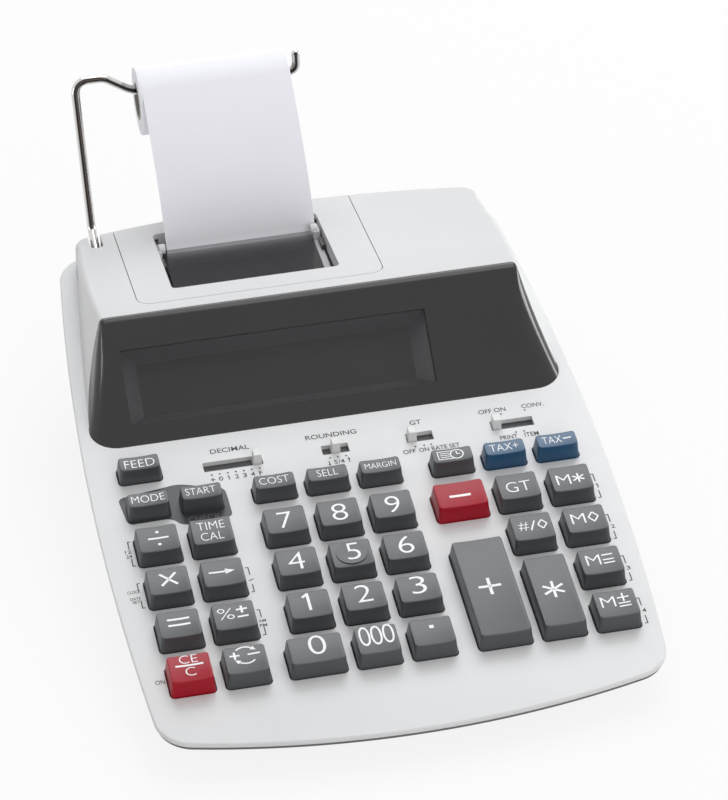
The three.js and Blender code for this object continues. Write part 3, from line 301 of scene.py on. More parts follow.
def hump_ring(height, deep=0.0, back=0.0, radius=hump_corner):
    def above(y):
        return height(y) - deck_z(hump_front) - (y - hump_front) * window_rise

    slope = (above(hump_top_front) - above(hump_front)) / (hump_top_front - hump_front)
    front = hump_front - above(hump_front) / slope + back + deep / math.sin(window_angle)

    def side_at(y):
        return half_width_at(y) - hump_inset(y, height(y) - deck_z(y)) - deep

    corner_y = front + radius
    corner = arc((side_at(corner_y) - radius, corner_y), radius, -math.pi / 2, 0, 10)
    rear = []
    for x, y, nx, ny in (
        arc(rear_corner, corner_radius, side_end, rear_turn, 10)
        + arc(rear_centre, rear_radius, rear_turn, math.pi / 2 + (rear_turn - math.pi / 2) / 19, 9)[1:]
    ):
        rise = height(y) - deck_z(y)
        rearward = hump_rear_inset + rise * math.tan(hump_rear_draft)
        inset = rearward + (hump_inset(y, rise) - rearward) * nx ** 2 + deep
        rear.append((x - nx * inset, y - ny * inset, nx, ny))
    steps = 14
    middle = [corner_y + (rear[0][1] - corner_y) * i / steps for i in range(1, steps)]
    side_line = [(side_at(y), y, 1, 0) for y in middle]
    return [(x, y, height(y)) for x, y, nx, ny in mirrored(corner + side_line + rear)]


def hump_solid(name, deep, foot):
    """The hump's skin, set in by an amount, from under the deck up to its rounded top edge."""
    foot_radius, top_radius = max(hump_corner - deep, 1), max(hump_top_corner - deep, 1)
    rings = [hump_ring(lambda y: deck_z(y) - foot, deep, radius=foot_radius)]
    rise_steps = 6
    for i in range(1, rise_steps):
        share = i / rise_steps
        rings.append(hump_ring(
            lambda y, s=share: (deck_z(y) - foot) * (1 - s) + (top_z(y) - hump_drop - deep) * s,
            deep, radius=top_radius + (foot_radius - top_radius) * (1 - share ** 3)))
    round_steps = 6
    for i in range(round_steps + 1):
        turn = math.pi / 2 * i / round_steps
        inward, drop = 1 - math.cos(turn), 1 - math.sin(turn)
        rings.append(hump_ring(
            lambda y, d=drop: top_z(y) - hump_drop * d - deep,
            deep + hump_round * inward,
            (window_bevel - hump_round / math.sin(window_angle)) * inward,
            radius=top_radius))
    return lofted(name, rings)


def rounded_plan(left, right, front, rear, radius, steps):
    corners = [
        ((right - radius, front + radius), -math.pi / 2),
        ((right - radius, rear - radius), 0),
        ((left + radius, rear - radius), math.pi / 2),
        ((left + radius, front + radius), math.pi),
    ]
    return [p[:2] for centre, turn in corners for p in arc(centre, radius, turn, turn + math.pi / 2, steps)]


def plan_prism(name, left, right, front, rear, radius, low, high, steps=6):
    outline = rounded_plan(left, right, front, rear, radius, steps)
    return lofted(name, [[(x, y, z) for x, y in outline] for z in (low, high)])


def window_wedge(name, shift):
    """The space before the window's seat, which drops from the top and sweeps forward to the deck."""
    foot, top, bend = hump_front + 12.2 + shift, hump_top_front + 1.4 + shift, hump_top_height - 7
    run, fall = top - foot, bend - deck_z(foot)
    radius = (run * run + fall * fall) / (2 * run)
    first = math.atan2(fall, radius - run)
    steps = 16
    turns = [first * (1 - i / steps) for i in range(steps + 1)]
    sweep = [(top - radius * (1 - math.cos(t)), bend - radius * math.sin(t)) for t in turns]
    profile = [(past_front, 0), (foot, 0)] + sweep + [(top, past_top), (past_front, past_top)]
    return lofted(name, [[(x, y, z) for y, z in profile] for x in (-past_side, past_side)])


def on_deck(x, up, z):
    """A place on the deck: across, up along the slope, and out of the surface."""
    return (
        x,
        up * math.cos(deck_slope) - z * math.sin(deck_slope),
        deck_front_height + up * math.sin(deck_slope) + z * math.cos(deck_slope),
    )


def deck_prism(name, left, right, front, rear, radius, low, high, steps=4):
    outline = rounded_plan(left, right, front, rear, radius, steps)
    return lofted(name, [[on_deck(x, up, z) for x, up in outline] for z in (low, high)])


def joined(name, pieces):
    """Several loose solids as one tool."""
    bm = bmesh.new()
    for piece in pieces:
        bm.from_mesh(piece.data)
        bpy.data.objects.remove(piece)
    return as_piece(name, bm)


def new_finish(name, **values):
    """A new material, its node tree and its shader, with values for the shader's sockets."""
    material = bpy.data.materials.new(name)
    material.use_nodes = True
    shader = material.node_tree.nodes["Principled BSDF"]
    for socket, value in values.items():
        shader.inputs[socket.replace("_", " ")].default_value = value
    return material, material.node_tree, shader


def moulded(name, colour, roughness, grain=0.06, grain_scale=2600, shade=0.03, gloss=0.5):
    """Moulded plastic: a fine spark-eroded grain, and colour that drifts a little over the part."""
    material, tree, shader = new_finish(name, Roughness=roughness, Specular_IOR_Level=gloss)
    place, tones = added(tree, "TexCoord"), added(tree, "ValToRGB")
    drift = added(tree, "TexNoise", Scale=18, Detail=4)
    skin = added(tree, "TexNoise", Scale=grain_scale, Detail=2)
    bump = added(tree, "Bump", Strength=grain, Distance=0.0002)
    for element, position, way in zip(tones.color_ramp.elements, (0.3, 0.7), (-1, 1)):
        element.position = position
        element.color = (*(min(c * (1 + way * shade), 1) for c in colour), 1)
    wired(
        tree, (place, "Object", drift, "Vector"), (place, "Object", skin, "Vector"),
        (drift, "Fac", tones, "Fac"), (tones, "Color", shader, "Base Color"),
        (skin, "Fac", bump, "Height"), (bump, "Normal", shader, "Normal"))
    return material


def finished(piece, materials, body, sharp=32, edge=0.0):
    """Gives a piece its materials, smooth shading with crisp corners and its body."""
    for material in materials:
        piece.data.materials.append(material)
    if edge:
        rounding = piece.modifiers.new("edge", "BEVEL")
        rounding.width = edge * mm
        rounding.segments = 2
        rounding.limit_method = "ANGLE"
        rounding.angle_limit = math.radians(40)
        rounding.harden_normals = True
    piece.data.shade_smooth()
    piece.data.set_sharp_from_angle(angle=math.radians(sharp))
    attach(piece, body)


key_rows = {4: 33.5, 3: 55.12, 2: 76.74, 1: 98.36, "small": 122.0, "feed": 141.4}
key_columns = {"left": -72.6, "digits": -27.5, "right": 36.6}
key_pitch, row_pitch = 19, 21.62
key_width, key_depth, small_key_depth = 15.4, 14.6, 8.8
# Rows of keys: group, row, and the names from the group's left column on, with - where no key is
key_table = (
    ("left", "feed", "feed"), ("left", "small", "mode start"),
    ("digits", "small", "cost sell margin"), ("right", "small", "clock tax_plus tax_minus"),
    ("left", 1, "divide time"), ("left", 2, "multiply shift"), ("left", 3, "equals percent"),
    ("left", 4, "clear sign"), ("digits", 1, "7 8 9"), ("digits", 2, "4 5 6"),
    ("digits", 3, "1 2 3"), ("digits", 4, "0 000 point"),
    ("right", 1, "minus grand_total memory_total"), ("right", 2, "- subtotal memory_subtotal"),
    ("right", 3, "- - memory_plus"), ("right", 4, "plus total memory_minus"),
)
rows_taller, wider_left = {"plus": 1.6, "total": 1}, {"0": 4.2, "minus": 3.3, "plus": 3.3}
keys = {}
for group, row, names in key_table:
    for column, name in enumerate(names.split()):
        if name != "-":
            widen = wider_left.get(name, 0)
            middle = key_columns[group] + key_pitch * column - widen / 2
            depth = small_key_depth if row in ("small", "feed") else key_depth
            depth += rows_taller.get(name, 0) * row_pitch
            keys["key_" + name] = (middle, key_rows[row], key_width + widen, depth)
# Slide switches: first place, number of places, the place where the knob stands
switches = {
    "decimal_switch": (-47.8, 7, 6),
    "rounding_switch": (-4.8, 3, 1),
    "total_switch": (26.0, 3, 0),
    "print_switch": (57.1, 5, 0),
}
switch_pitch, slot_middle, slot_depth = 2.9, 144.8, 4.9
rim_round, well_gap, well_corner, slot_end, slot_corner, fit = 0.6, 0.4, 1.9, 2, 0.3, 0.3
cut_foot, cut_top = -2.8, 1

deck_shell = lofted(
    "case_shell",
    [
        case_ring(0.4, below_deck(rim_height)),
        case_ring(0.1, below_deck(1.7)),
        case_ring(0.0, below_deck(1.4)),
        case_ring(0.0, below_deck(rim_round)),
    ]
    + [
        case_ring(rim_round * (1 - math.cos(turn)), below_deck(rim_round * (1 - math.sin(turn))))
        for turn in (math.pi / 2 * i / 5 for i in range(1, 6))
    ],
)
case_shell = cut(deck_shell, hump_solid("hump_skin", 0, hump_root), "UNION")
hump_hollow = hump_solid("hump_hollow", case_wall, rim_height + 1)
case_shell = cut(case_shell, hump_hollow, keep=True)
pocket = cut(
    hump_solid("window_pocket", -fit, hump_root), window_wedge("pocket_wedge", fit), "INTERSECT")
case_shell = cut(case_shell, pocket)
wells = [
    deck_prism(
        "well", x - w / 2 - well_gap, x + w / 2 + well_gap, up - well_gap, up + d + well_gap,
        well_corner, cut_foot, cut_top)
    for x, up, w, d in keys.values()
]
slots = [
    deck_prism(
        "slot", first - slot_end, first + switch_pitch * (places - 1) + slot_end,
        slot_middle - slot_depth / 2, slot_middle + slot_depth / 2, slot_corner, cut_foot, cut_top)
    for first, places, rest in switches.values()
]
case_shell = cut(case_shell, joined("wells_and_slots", wells + slots))

# The upper case's opening for the printer cover, cut with a small clearance all round, and the
# notch in its rear edge that the wire arm turns in.
cover_left, cover_right, cover_front, cover_corner = -61.4, 29.5, 201.2, 5
lip_floor = top_z(case_depth) - 6.5
case_shell = cut(case_shell, plan_prism(
    "cover_cut", cover_left - fit, cover_right + fit, cover_front - fit, past_rear, cover_corner + fit,
    lip_floor - fit, past_top))
arm_x, notch_half, notch_front, notch_floor = -69, 2.5, 254.4, 53
case_shell = cut(case_shell, plan_prism(
    "notch", arm_x - notch_half, arm_x + notch_half, notch_front, past_rear, notch_half - 0.01,
    notch_floor, past_top, steps=10))
case_plastic = moulded("pale_case_plastic", (0.66, 0.66, 0.66), 0.38)
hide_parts("top_case")
finished(case_shell, [case_plastic], "housing", edge=0.22)

# Printer cover: a loose lid of the same plastic, with the paper opening. It lies in a rebate of
# the hump and runs back over the rear edge.
printer_cover = cut(hump_solid("printer_lid", 0, hump_root), hump_hollow)
printer_cover = cut(printer_cover, plan_prism(
    "lid_plan", cover_left, cover_right, cover_front, past_rear, cover_corner, lip_floor, past_top),
    "INTERSECT")
printer_cover = cut(printer_cover, plan_prism(
    "paper_opening", -47.7, 14.7, 211, 259.6, 2, lip_floor, past_top))


def solid_box(bm, x0, x1, y0, y1, z0, z1):
    """A box between two corners. Returns its points."""
    middle = Matrix.Translation(((x0 + x1) / 2, (y0 + y1) / 2, (z0 + z1) / 2))
    size = Matrix.Diagonal((x1 - x0, y1 - y0, z1 - z0, 1))
    return bmesh.ops.create_cube(bm, size=1, matrix=middle @ size)["verts"]


def set_down(bm, where=lambda *place: place):
    """Moves a mesh from millimetres into the frame, by way of the place that a rule gives."""
    for v in bm.verts:
        v.co = in_place(*where(*v.co))


opening_walls = bmesh.new()
wall_top, wall_foot = -1.2, -6.3
for left, right, y0, y1 in (
    (-49.2, -47.7, 214, 257.5), (14.7, 16.2, 214, 257.5), (-45.6, 12.6, 259.6, 260.8),
):
    for v in solid_box(opening_walls, left, right, y0, y1, wall_foot, wall_top):
        v.co.z += top_z(v.co.y)
set_down(opening_walls)
printer_cover = cut(printer_cover, as_piece("opening_walls", opening_walls), "UNION")
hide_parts("printer_cover")
finished(printer_cover, [case_plastic], "printer_cover", edge=0.3)

# Display window: a tray of smoked acrylic that makes the whole front of the hump. Its inside is
# painted black, apart from the clear field before the display, so only the field lets light in.
pane_thick, pane_root, flat_enough = 2.0, 0.2, 0.999
window = cut(
    hump_solid("window_panel", 0, pane_root), hump_solid("window_hollow", pane_thick, rim_height))
window = cut(window, window_wedge("window_wedge", 0), "INTERSECT")
field_middle, field_width, field_foot, field_height = -15.6, 112, 7.4, 27.6


def on_window(x, up, z):
    """A place on the window's plane: across, up its slope, and out of the surface."""
    return (
        x,
        hump_front + up * math.cos(window_angle) - z * math.sin(window_angle),
        deck_z(hump_front) + up * math.sin(window_angle) + z * math.cos(window_angle),
    )


bm = bmesh.new()
bm.from_mesh(window.data)
bm.normal_update()
hump_middle = in_place(0, 205, 42)
inward = [f for f in bm.faces if f.normal.dot(f.calc_center_median() - hump_middle) < 0]
back_pane = max(inward, key=lambda f: f.calc_area())
pane_normal = back_pane.normal.copy()
slope_up = Vector((0, math.cos(window_angle), math.sin(window_angle)))
for side in (-1, 1):
    for co, no in (
        (in_place(*on_window(field_middle + side * field_width / 2, 0, 0)), Vector((1, 0, 0))),
        (in_place(*on_window(0, field_foot + field_height * (1 + side) / 2, 0)), slope_up),
    ):
        pane = [f for f in bm.faces if abs(f.normal.dot(pane_normal)) > flat_enough]
        edges, verts = {e for f in pane for e in f.edges}, {v for f in pane for v in f.verts}
        bmesh.ops.bisect_plane(
            bm, geom=pane + list(edges) + list(verts), plane_co=co, plane_no=no)
for face in bm.faces:
    centre = face.calc_center_median()
    up = (centre - in_place(*on_window(0, field_foot, 0))).dot(slope_up) / mm
    across = abs(centre.x / mm - field_middle)
    flat = abs(face.normal.dot(pane_normal)) > flat_enough
    if not (flat and across < field_width / 2 and 0 < up < field_height):
        face.material_index = 1 if face.normal.dot(centre - hump_middle) < 0 else 2
bm.to_mesh(window.data)
bm.free()
smoked, tree, shader = new_finish(
    "smoked_acrylic", Base_Color=(0.022, 0.022, 0.024, 1), Alpha=0.25, IOR=1.49, Specular_IOR_Level=0.1)


def hazed(tree, shader, low, high, **noise):
    """Roughness that drifts between two values over the piece."""
    place, film = added(tree, "TexCoord"), added(tree, "TexNoise", **noise)
    tones = added(tree, "MapRange", To_Min=low, To_Max=high)
    wired(
        tree, (place, "Object", film, "Vector"), (film, "Fac", tones, "Value"),
        (tones, "Result", shader, "Roughness"))


hazed(tree, shader, 0.08, 0.16, Scale=40, Detail=5)
backing = moulded("black_backing", (0.04, 0.04, 0.042), 0.7, grain=0.003)
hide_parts("display_window")
painted = moulded("painted_acrylic", (0.011, 0.011, 0.0115), 0.14, grain=0.002, shade=0.1)
finished(window, [smoked, backing, painted], "housing", edge=0.3)

# Display module behind the window: a moulded black bezel whose walls slope in to the dark glass.
# Its face lies 2.6 mm behind the outside of the window.
bm = bmesh.new()
bezel_face, glass_face, bezel_back = -2.6, -8.6, -10.6
glass_width, glass_height, bezel_rim = 100.6, 19.7, 3
half_field = field_width / 2 + bezel_rim
solid_box(
    bm, field_middle - half_field, field_middle + half_field, field_foot - bezel_rim,
    field_foot + field_height + bezel_rim, bezel_back, bezel_face)
bm.normal_update()
front = [f for f in bm.faces if f.normal.z > 0.9]
bmesh.ops.inset_region(bm, faces=front, thickness=bezel_rim, use_even_offset=True)
deepened = bmesh.ops.extrude_face_region(bm, geom=front)
bmesh.ops.delete(bm, geom=front, context="FACES_ONLY")
field_centre = field_foot + field_height / 2
for v in [v for v in deepened["geom"] if isinstance(v, bmesh.types.BMVert)]:
    v.co.x = field_middle + (v.co.x - field_middle) * glass_width / field_width
    v.co.y = field_centre + (v.co.y - field_centre) * glass_height / field_height
    v.co.z = glass_face
for f in [f for f in deepened["geom"] if isinstance(f, bmesh.types.BMFace)]:
    f.material_index = 1
set_down(bm, on_window)
bmesh.ops.recalc_face_normals(bm, faces=bm.faces)
bezel = as_piece("display_bezel", bm)
bezel_plastic = moulded("bezel_black", (0.21, 0.21, 0.218), 0.3)
glass_dark = moulded("display_glass", (0.115, 0.108, 0.106), 0.4, grain=0.003, shade=0.06)
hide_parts("display_module")
finished(bezel, [bezel_plastic, glass_dark], "housing", edge=0.2)

# Lower case: a tub of darker grey plastic, tucked in under the rim. A lip on it carries the upper
# case all round. Its dark grey is partly the tub's own colour and partly painted shade, so that the
# lip makes a dark shadow line under the rim's edge.
tub_plastic_and_painted_shade = moulded("tub_plastic_and_painted_shade", (0.1, 0.102, 0.105), 0.5)


def repainted(node, material):
    """Gives a solid of the model a new material."""
    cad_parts[node].data.materials.clear()
    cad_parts[node].data.materials.append(material)


repainted("bottom_case", tub_plastic_and_painted_shade)
lip_top, lip_foot, lip_inner = 1.85, 3.2, 1.9
# The lip is a real part, and its dark band just under the rim also stands in for the rim's shadow.
lip_and_painted_shadow_line = lofted("lip_and_painted_shadow_line", [
    case_ring(0.5, below_deck(lip_top)), case_ring(0.8, below_deck(lip_foot)),
    case_ring(lip_inner, below_deck(lip_foot)), case_ring(lip_inner, below_deck(lip_top)),
], looped=True)
finished(lip_and_painted_shadow_line, [tub_plastic_and_painted_shade], "housing")

# Keys: double-shot caps with a dished top, walls that taper more at the back than at the front,
# and a white legend in the top, each on a stem that slides in its well. The 5 has a raised disc.
key_height, key_corner, key_edge, key_dish = 6.9, 1.2, 0.32, 0.45
taper_side, taper_front, taper_rear, skirt, dish_steps = 0.6, 0.45, 1.6, 3.3, 14
key_plastics = {
    "key_grey": moulded(
        "grey_key_plastic", (0.056, 0.059, 0.064), 0.34, grain=0.1, grain_scale=3200, shade=0.05),
    "key_red": moulded(
        "red_key_plastic", (0.33, 0.003, 0.015), 0.3, grain=0.06, grain_scale=3200, gloss=0.22),
    "key_blue": moulded(
        "blue_key_plastic", (0.014, 0.07, 0.15), 0.32, grain=0.06, grain_scale=3200),
}
legend_white = moulded("legend_white", (0.86, 0.86, 0.86), 0.5, grain=0.02)


def rounded(bm, geom, offset, segments, kind="EDGES"):
    bmesh.ops.bevel(
        bm, geom=geom, offset=offset, segments=segments, profile=0.5, affect=kind, material=-1)


def slit(bm, x):
    """Divides a mesh at a place across, so that it can bend there."""
    bmesh.ops.bisect_plane(
        bm, geom=bm.verts[:] + bm.edges[:] + bm.faces[:], plane_co=(x, 0, 0), plane_no=(1, 0, 0))


def key_cap(width, depth):
    """A cap with its middle at the origin, the deck at zero height."""
    bm = bmesh.new()
    half_w, half_d = width / 2, depth / 2
    solid_box(bm, -half_w, half_w, -half_d, half_d, -skirt, 0)
    bm.normal_update()
    seat = [f for f in bm.faces if f.normal.z > 0.9]
    raised = bmesh.ops.extrude_face_region(bm, geom=seat)
    bmesh.ops.delete(bm, geom=seat, context="FACES_ONLY")
    for v in [v for v in raised["geom"] if isinstance(v, bmesh.types.BMVert)]:
        v.co.x *= (half_w - taper_side) / half_w
        v.co.y += taper_front if v.co.y < 0 else -taper_rear
        v.co.z = key_height
    bmesh.ops.recalc_face_normals(bm, faces=bm.faces)
    upright = [e for e in bm.edges if abs((e.verts[0].co - e.verts[1].co).normalized().z) > 0.8]
    rounded(bm, upright, key_corner, 5)
    for i in range(1, dish_steps):
        slit(bm, (-1 + 2 * i / dish_steps) * (half_w - taper_side))
    for v in bm.verts:
        if v.co.z > key_height - 0.01:
            v.co.z -= key_dish * (1 - (v.co.x / half_w) ** 2)
    bm.normal_update()
    edge = [
        e for e in bm.edges
        if min(v.co.z for v in e.verts) > key_height - key_dish - 0.05 and len(e.link_faces) == 2
        and e.calc_face_angle() > math.radians(45)
    ]
    rounded(bm, edge, key_edge, 3)
    return bm


def mesh_of(curve):
    """Turns a curve into a mesh, and takes the curve away."""
    holder = bpy.data.objects.new(curve.name, curve)
    bpy.context.scene.collection.objects.link(holder)
    graph = bpy.context.evaluated_depsgraph_get()
    mesh = bpy.data.meshes.new_from_object(holder.evaluated_get(graph))
    bpy.data.objects.remove(holder)
    bpy.data.curves.remove(curve)
    return mesh


def letters(bm, text, x, y, width, height, weight=-0.012):
    """Flat letters in the plane, fitted to a width and a height round their middle."""
    curve = bpy.data.curves.new("letters", "FONT")
    curve.body = text
    curve.resolution_u = 5
    curve.offset = weight
    mesh = mesh_of(curve)
    xs, ys = [v.co.x for v in mesh.vertices], [v.co.y for v in mesh.vertices]
    middle = Matrix.Translation((-(min(xs) + max(xs)) / 2, -(min(ys) + max(ys)) / 2, 0))
    scale = Matrix.Diagonal((width / (max(xs) - min(xs)), height / (max(ys) - min(ys)), 1, 1))
    mesh.transform(Matrix.Translation((x, y, 0)) @ scale @ middle)
    bm.from_mesh(mesh)
    bpy.data.meshes.remove(mesh)


def bar(bm, x0, y0, x1, y1, thick):
    """A straight stroke between two points."""
    length, turn = math.hypot(x1 - x0, y1 - y0), math.atan2(y1 - y0, x1 - x0)
    lay = Matrix.Translation(((x0 + x1) / 2, (y0 + y1) / 2, 0)) @ Matrix.Rotation(turn, 4, "Z")
    bmesh.ops.create_grid(
        bm, x_segments=1, y_segments=1, size=0.5, matrix=lay @ Matrix.Diagonal((length, thick, 1, 1)))


def dot(bm, x, y, radius):
    lay = Matrix.Translation((x, y, 0))
    bmesh.ops.create_circle(bm, cap_ends=True, segments=16, radius=radius, matrix=lay)


def sweep(bm, x, y, radius, thick, start, stop):
    """A stroke that follows an arc, between two bearings in degrees."""
    turn = math.radians(start)
    heading = Vector((math.cos(turn), math.sin(turn), 0))
    ends = [bm.verts.new(Vector((x, y, 0)) + heading * (radius + side * thick / 2)) for side in (-1, 1)]
    bmesh.ops.spin(
        bm, geom=ends + [bm.edges.new(ends)], cent=(x, y, 0), axis=(0, 0, 1),
        angle=math.radians(stop - start), steps=14, use_duplicate=False)


def arrow_head(bm, x, y, heading, length, width):
    """A solid triangle whose middle is at the place and whose point looks along the heading."""
    lay = Matrix.Translation((x, y, 0)) @ Matrix.Rotation(math.radians(heading), 4, "Z")
    lay = lay @ Matrix.Diagonal((length / 1.5, width / math.sqrt(3), 1, 1))
    lay = lay @ Matrix.Rotation(-math.pi / 2, 4, "Z")
    bmesh.ops.create_circle(bm, cap_ends=True, segments=3, radius=1, matrix=lay)


def star(bm, x, y, reach, thick):
    for turn in (90, 30, 150):
        dx, dy = reach * math.cos(math.radians(turn)), reach * math.sin(math.radians(turn))
        bar(bm, x - dx, y - dy, x + dx, y + dy, thick)


def diamond(bm, x, y, half_x, half_y, thick):
    points = [(x + half_x, y), (x, y + half_y), (x - half_x, y), (x, y - half_y)]
    for a, b in zip(points, points[1:] + points[:1]):
        bar(bm, *a, *b, thick)


def face_up(bm):
    """Turns flat marks so that all look out of the surface."""
    for f in bm.faces:
        if f.normal.z < 0:
            f.normal_flip()


# Words of the legends: the text, its middle, its width and its height, in the deck's millimetres
key_words = {
    "feed": [("FEED", -72.5, 144.8, 10.8, 3.9)],
    "mode": [("MODE", -72.6, 126, 11.7, 3.6)],
    "start": [("START", -53.9, 126.1, 10.7, 3.5)],
    "cost": [("COST", -27.6, 126.1, 10.6, 3.5)],
    "sell": [("SELL", -8.5, 126, 7.5, 3.5)],
    "margin": [("MARGIN", 10.6, 125.9, 11.3, 2.8)],
    "tax_plus": [("TAX+", 55.4, 125.9, 10.3, 3.6)],
    "tax_minus": [("TAX", 72.9, 125.9, 7, 3.6)],
    "time": [("TIME", -53.6, 107.7, 9.6, 3.9), ("CAL", -53.9, 102.3, 8, 3.9)],
    "percent": [("%", -56.3, 63, 5.6, 5.4)],
    "clear": [("CE", -72.6, 44.4, 6.2, 3.8), ("C", -72.7, 38.5, 3.5, 4)],
    "7": [("7", -27.7, 105, 5, 8.1)],
    "8": [("8", -8.4, 105.1, 5.4, 8.4)],
    "9": [("9", 10.6, 105, 5.1, 8.3)],
    "4": [("4", -27.9, 83.9, 5.7, 8.5)],
    "5": [("5", -7.8, 84, 4.7, 8.2)],
    "6": [("6", 10.7, 83.9, 5.3, 8.5)],
    "2": [("2", -8.5, 63.1, 5.5, 8.4)],
    "3": [("3", 10.6, 63.3, 5.3, 8.5)],
    "0": [("0", -28.9, 42, 6, 9)],
    "000": [("0", -12.5, 42.3, 3.9, 9.2), ("0", -8.4, 42.3, 3.9, 9.2), ("0", -4.3, 42.3, 3.9, 9.2)],
    "grand_total": [("GT", 55.6, 104.6, 8.8, 5.2)],
    "subtotal": [("#", 52.6, 84, 3.6, 4.4)],
    "memory_total": [("M", 71.9, 104.5, 5, 5)],
    "memory_subtotal": [("M", 72.1, 83.9, 5, 5)],
    "memory_plus": [("M", 72.1, 62.4, 5, 5)],
    "memory_minus": [("M", 71.9, 41.2, 5, 5)],
}
# Signs of the legends: the kind of stroke, its place and its size
key_strokes = {
    "1": [(bar, -27.6, 58.9, -27.6, 67.3, 1), (bar, -27.5, 67, -29.5, 65.4, 0.9)],
    "divide": [(bar, -76, 105.2, -68.8, 105.2, 0.8), (dot, -72.4, 108.3, 0.65), (dot, -72.4, 102.1, 0.65)],
    "multiply": [(bar, -75.2, 81.2, -69.6, 87, 0.9), (bar, -75.2, 87, -69.6, 81.2, 0.9)],
    "equals": [(bar, -76.4, 64.1, -68.8, 64.1, 0.9), (bar, -76.4, 61.3, -68.8, 61.3, 0.9)],
    "clear": [(bar, -77.4, 41.5, -67.9, 41.5, 0.8)],
    "shift": [(bar, -58.5, 83.9, -51.6, 83.9, 0.75), (arrow_head, -51.6, 83.9, 0, 3.4, 2.6)],
    "percent": [
        (bar, -52.6, 64.4, -48.8, 64.4, 0.8), (bar, -50.7, 66, -50.7, 62.6, 0.8),
        (bar, -52.6, 60.9, -48.8, 60.9, 0.8)],
    "sign": [
        (bar, -58.8, 42.4, -55.4, 42.4, 0.75), (bar, -57.1, 44.1, -57.1, 40.7, 0.75),
        (bar, -52.6, 42.4, -48.4, 42.4, 0.75), (sweep, -53.4, 42.1, 4, 0.6, 135, 55),
        (arrow_head, -50.5, 44.9, -40, 2, 1.9), (sweep, -53.4, 42.3, 4, 0.6, 315, 235),
        (arrow_head, -56.3, 39.5, 140, 2, 1.9)],
    "point": [(bar, 9.9, 42.4, 11.4, 42.4, 1.5)],
    "minus": [(bar, 30.8, 104.3, 38.4, 104.3, 1.15)],
    "plus": [(bar, 30.5, 57.5, 38.4, 57.5, 1.1), (bar, 34.45, 61.6, 34.45, 53.4, 1.1)],
    "total": [(star, 55.4, 51.4, 4, 0.95)],
    "tax_minus": [(bar, 77, 125.9, 79.9, 125.9, 0.6)],
    "subtotal": [(bar, 54.9, 81.7, 56.9, 86.3, 0.55), (diamond, 59.3, 84, 1.6, 2.2, 0.5)],
    "memory_total": [(star, 77.3, 104.6, 2.3, 0.6)],
    "memory_subtotal": [(diamond, 77.5, 83.9, 1.75, 2.4, 0.55)],
    "memory_plus": [(bar, 75.4, y, 79.3, y, 0.6) for y in (64.3, 61.9, 60.3)],
    "memory_minus": [
        (bar, 75.4, 42.6, 79.5, 42.6, 0.6), (bar, 77.45, 44.6, 77.45, 40.6, 0.6),
        (bar, 75.4, 39.9, 79.5, 39.9, 0.6), (bar, 75.4, 38.4, 79.5, 38.4, 0.6)],
    "clock": [
        (bar, 31.3, 123.9, 37, 123.9, 0.35), (bar, 31.3, 127.9, 37, 127.9, 0.35),
        (bar, 31.5, 123.9, 31.5, 127.9, 0.35), (bar, 32.3, 124.9, 35.8, 124.9, 0.35),
        (bar, 32.3, 125.9, 35.8, 125.9, 0.35), (bar, 32.3, 126.9, 35.8, 126.9, 0.35),
        (sweep, 38.3, 125.9, 2.3, 0.45, 0, 360), (bar, 38.3, 125.9, 38.3, 127.4, 0.4),
        (bar, 38.3, 125.9, 39.5, 125.9, 0.4)],
}
mark_rise, disc_rise, disc_thick, dish_floor = 0.04, 0.5, 1.0, key_height - key_dish

for name, (middle, front, width, depth) in keys.items():
    cap = key_cap(width, depth)
    sign = name.removeprefix("key_")
    if sign == "5":
        bmesh.ops.create_cone(
            cap, cap_ends=True, segments=48, radius1=5.6, radius2=5.4, depth=disc_thick,
            matrix=Matrix.Translation((0, (taper_front - taper_rear) / 2, dish_floor)))
    marks = bmesh.new()
    for text, *place in key_words.get(sign, []):
        letters(marks, text, *place)
    for stroke, *place in key_strokes.get(sign, []):
        stroke(marks, *place)
    for i in range(-9, 10):
        slit(marks, middle + i)
    for v in marks.verts:
        x = v.co.x - middle
        level = key_height - key_dish * (1 - (2 * x / width) ** 2)
        if sign == "5":
            level = dish_floor + disc_rise
        v.co = (x, v.co.y - front - depth / 2, level + mark_rise)
    for f in marks.faces:
        f.material_index = 1
    face_up(marks)
    printed = bpy.data.meshes.new("marks")
    marks.to_mesh(printed)
    marks.free()
    cap.from_mesh(printed)
    bpy.data.meshes.remove(printed)
    set_down(cap, lambda x, y, z: on_deck(middle + x, front + depth / 2 + y, z))
    piece = as_piece(name + "_cap", cap)
    tint = "key_blue" if "tax" in name else "key_grey"
    if name in ("key_clear", "key_minus"):
        tint = "key_red"
    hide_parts(name)
    finished(piece, [key_plastics[tint], legend_white], name, sharp=40)

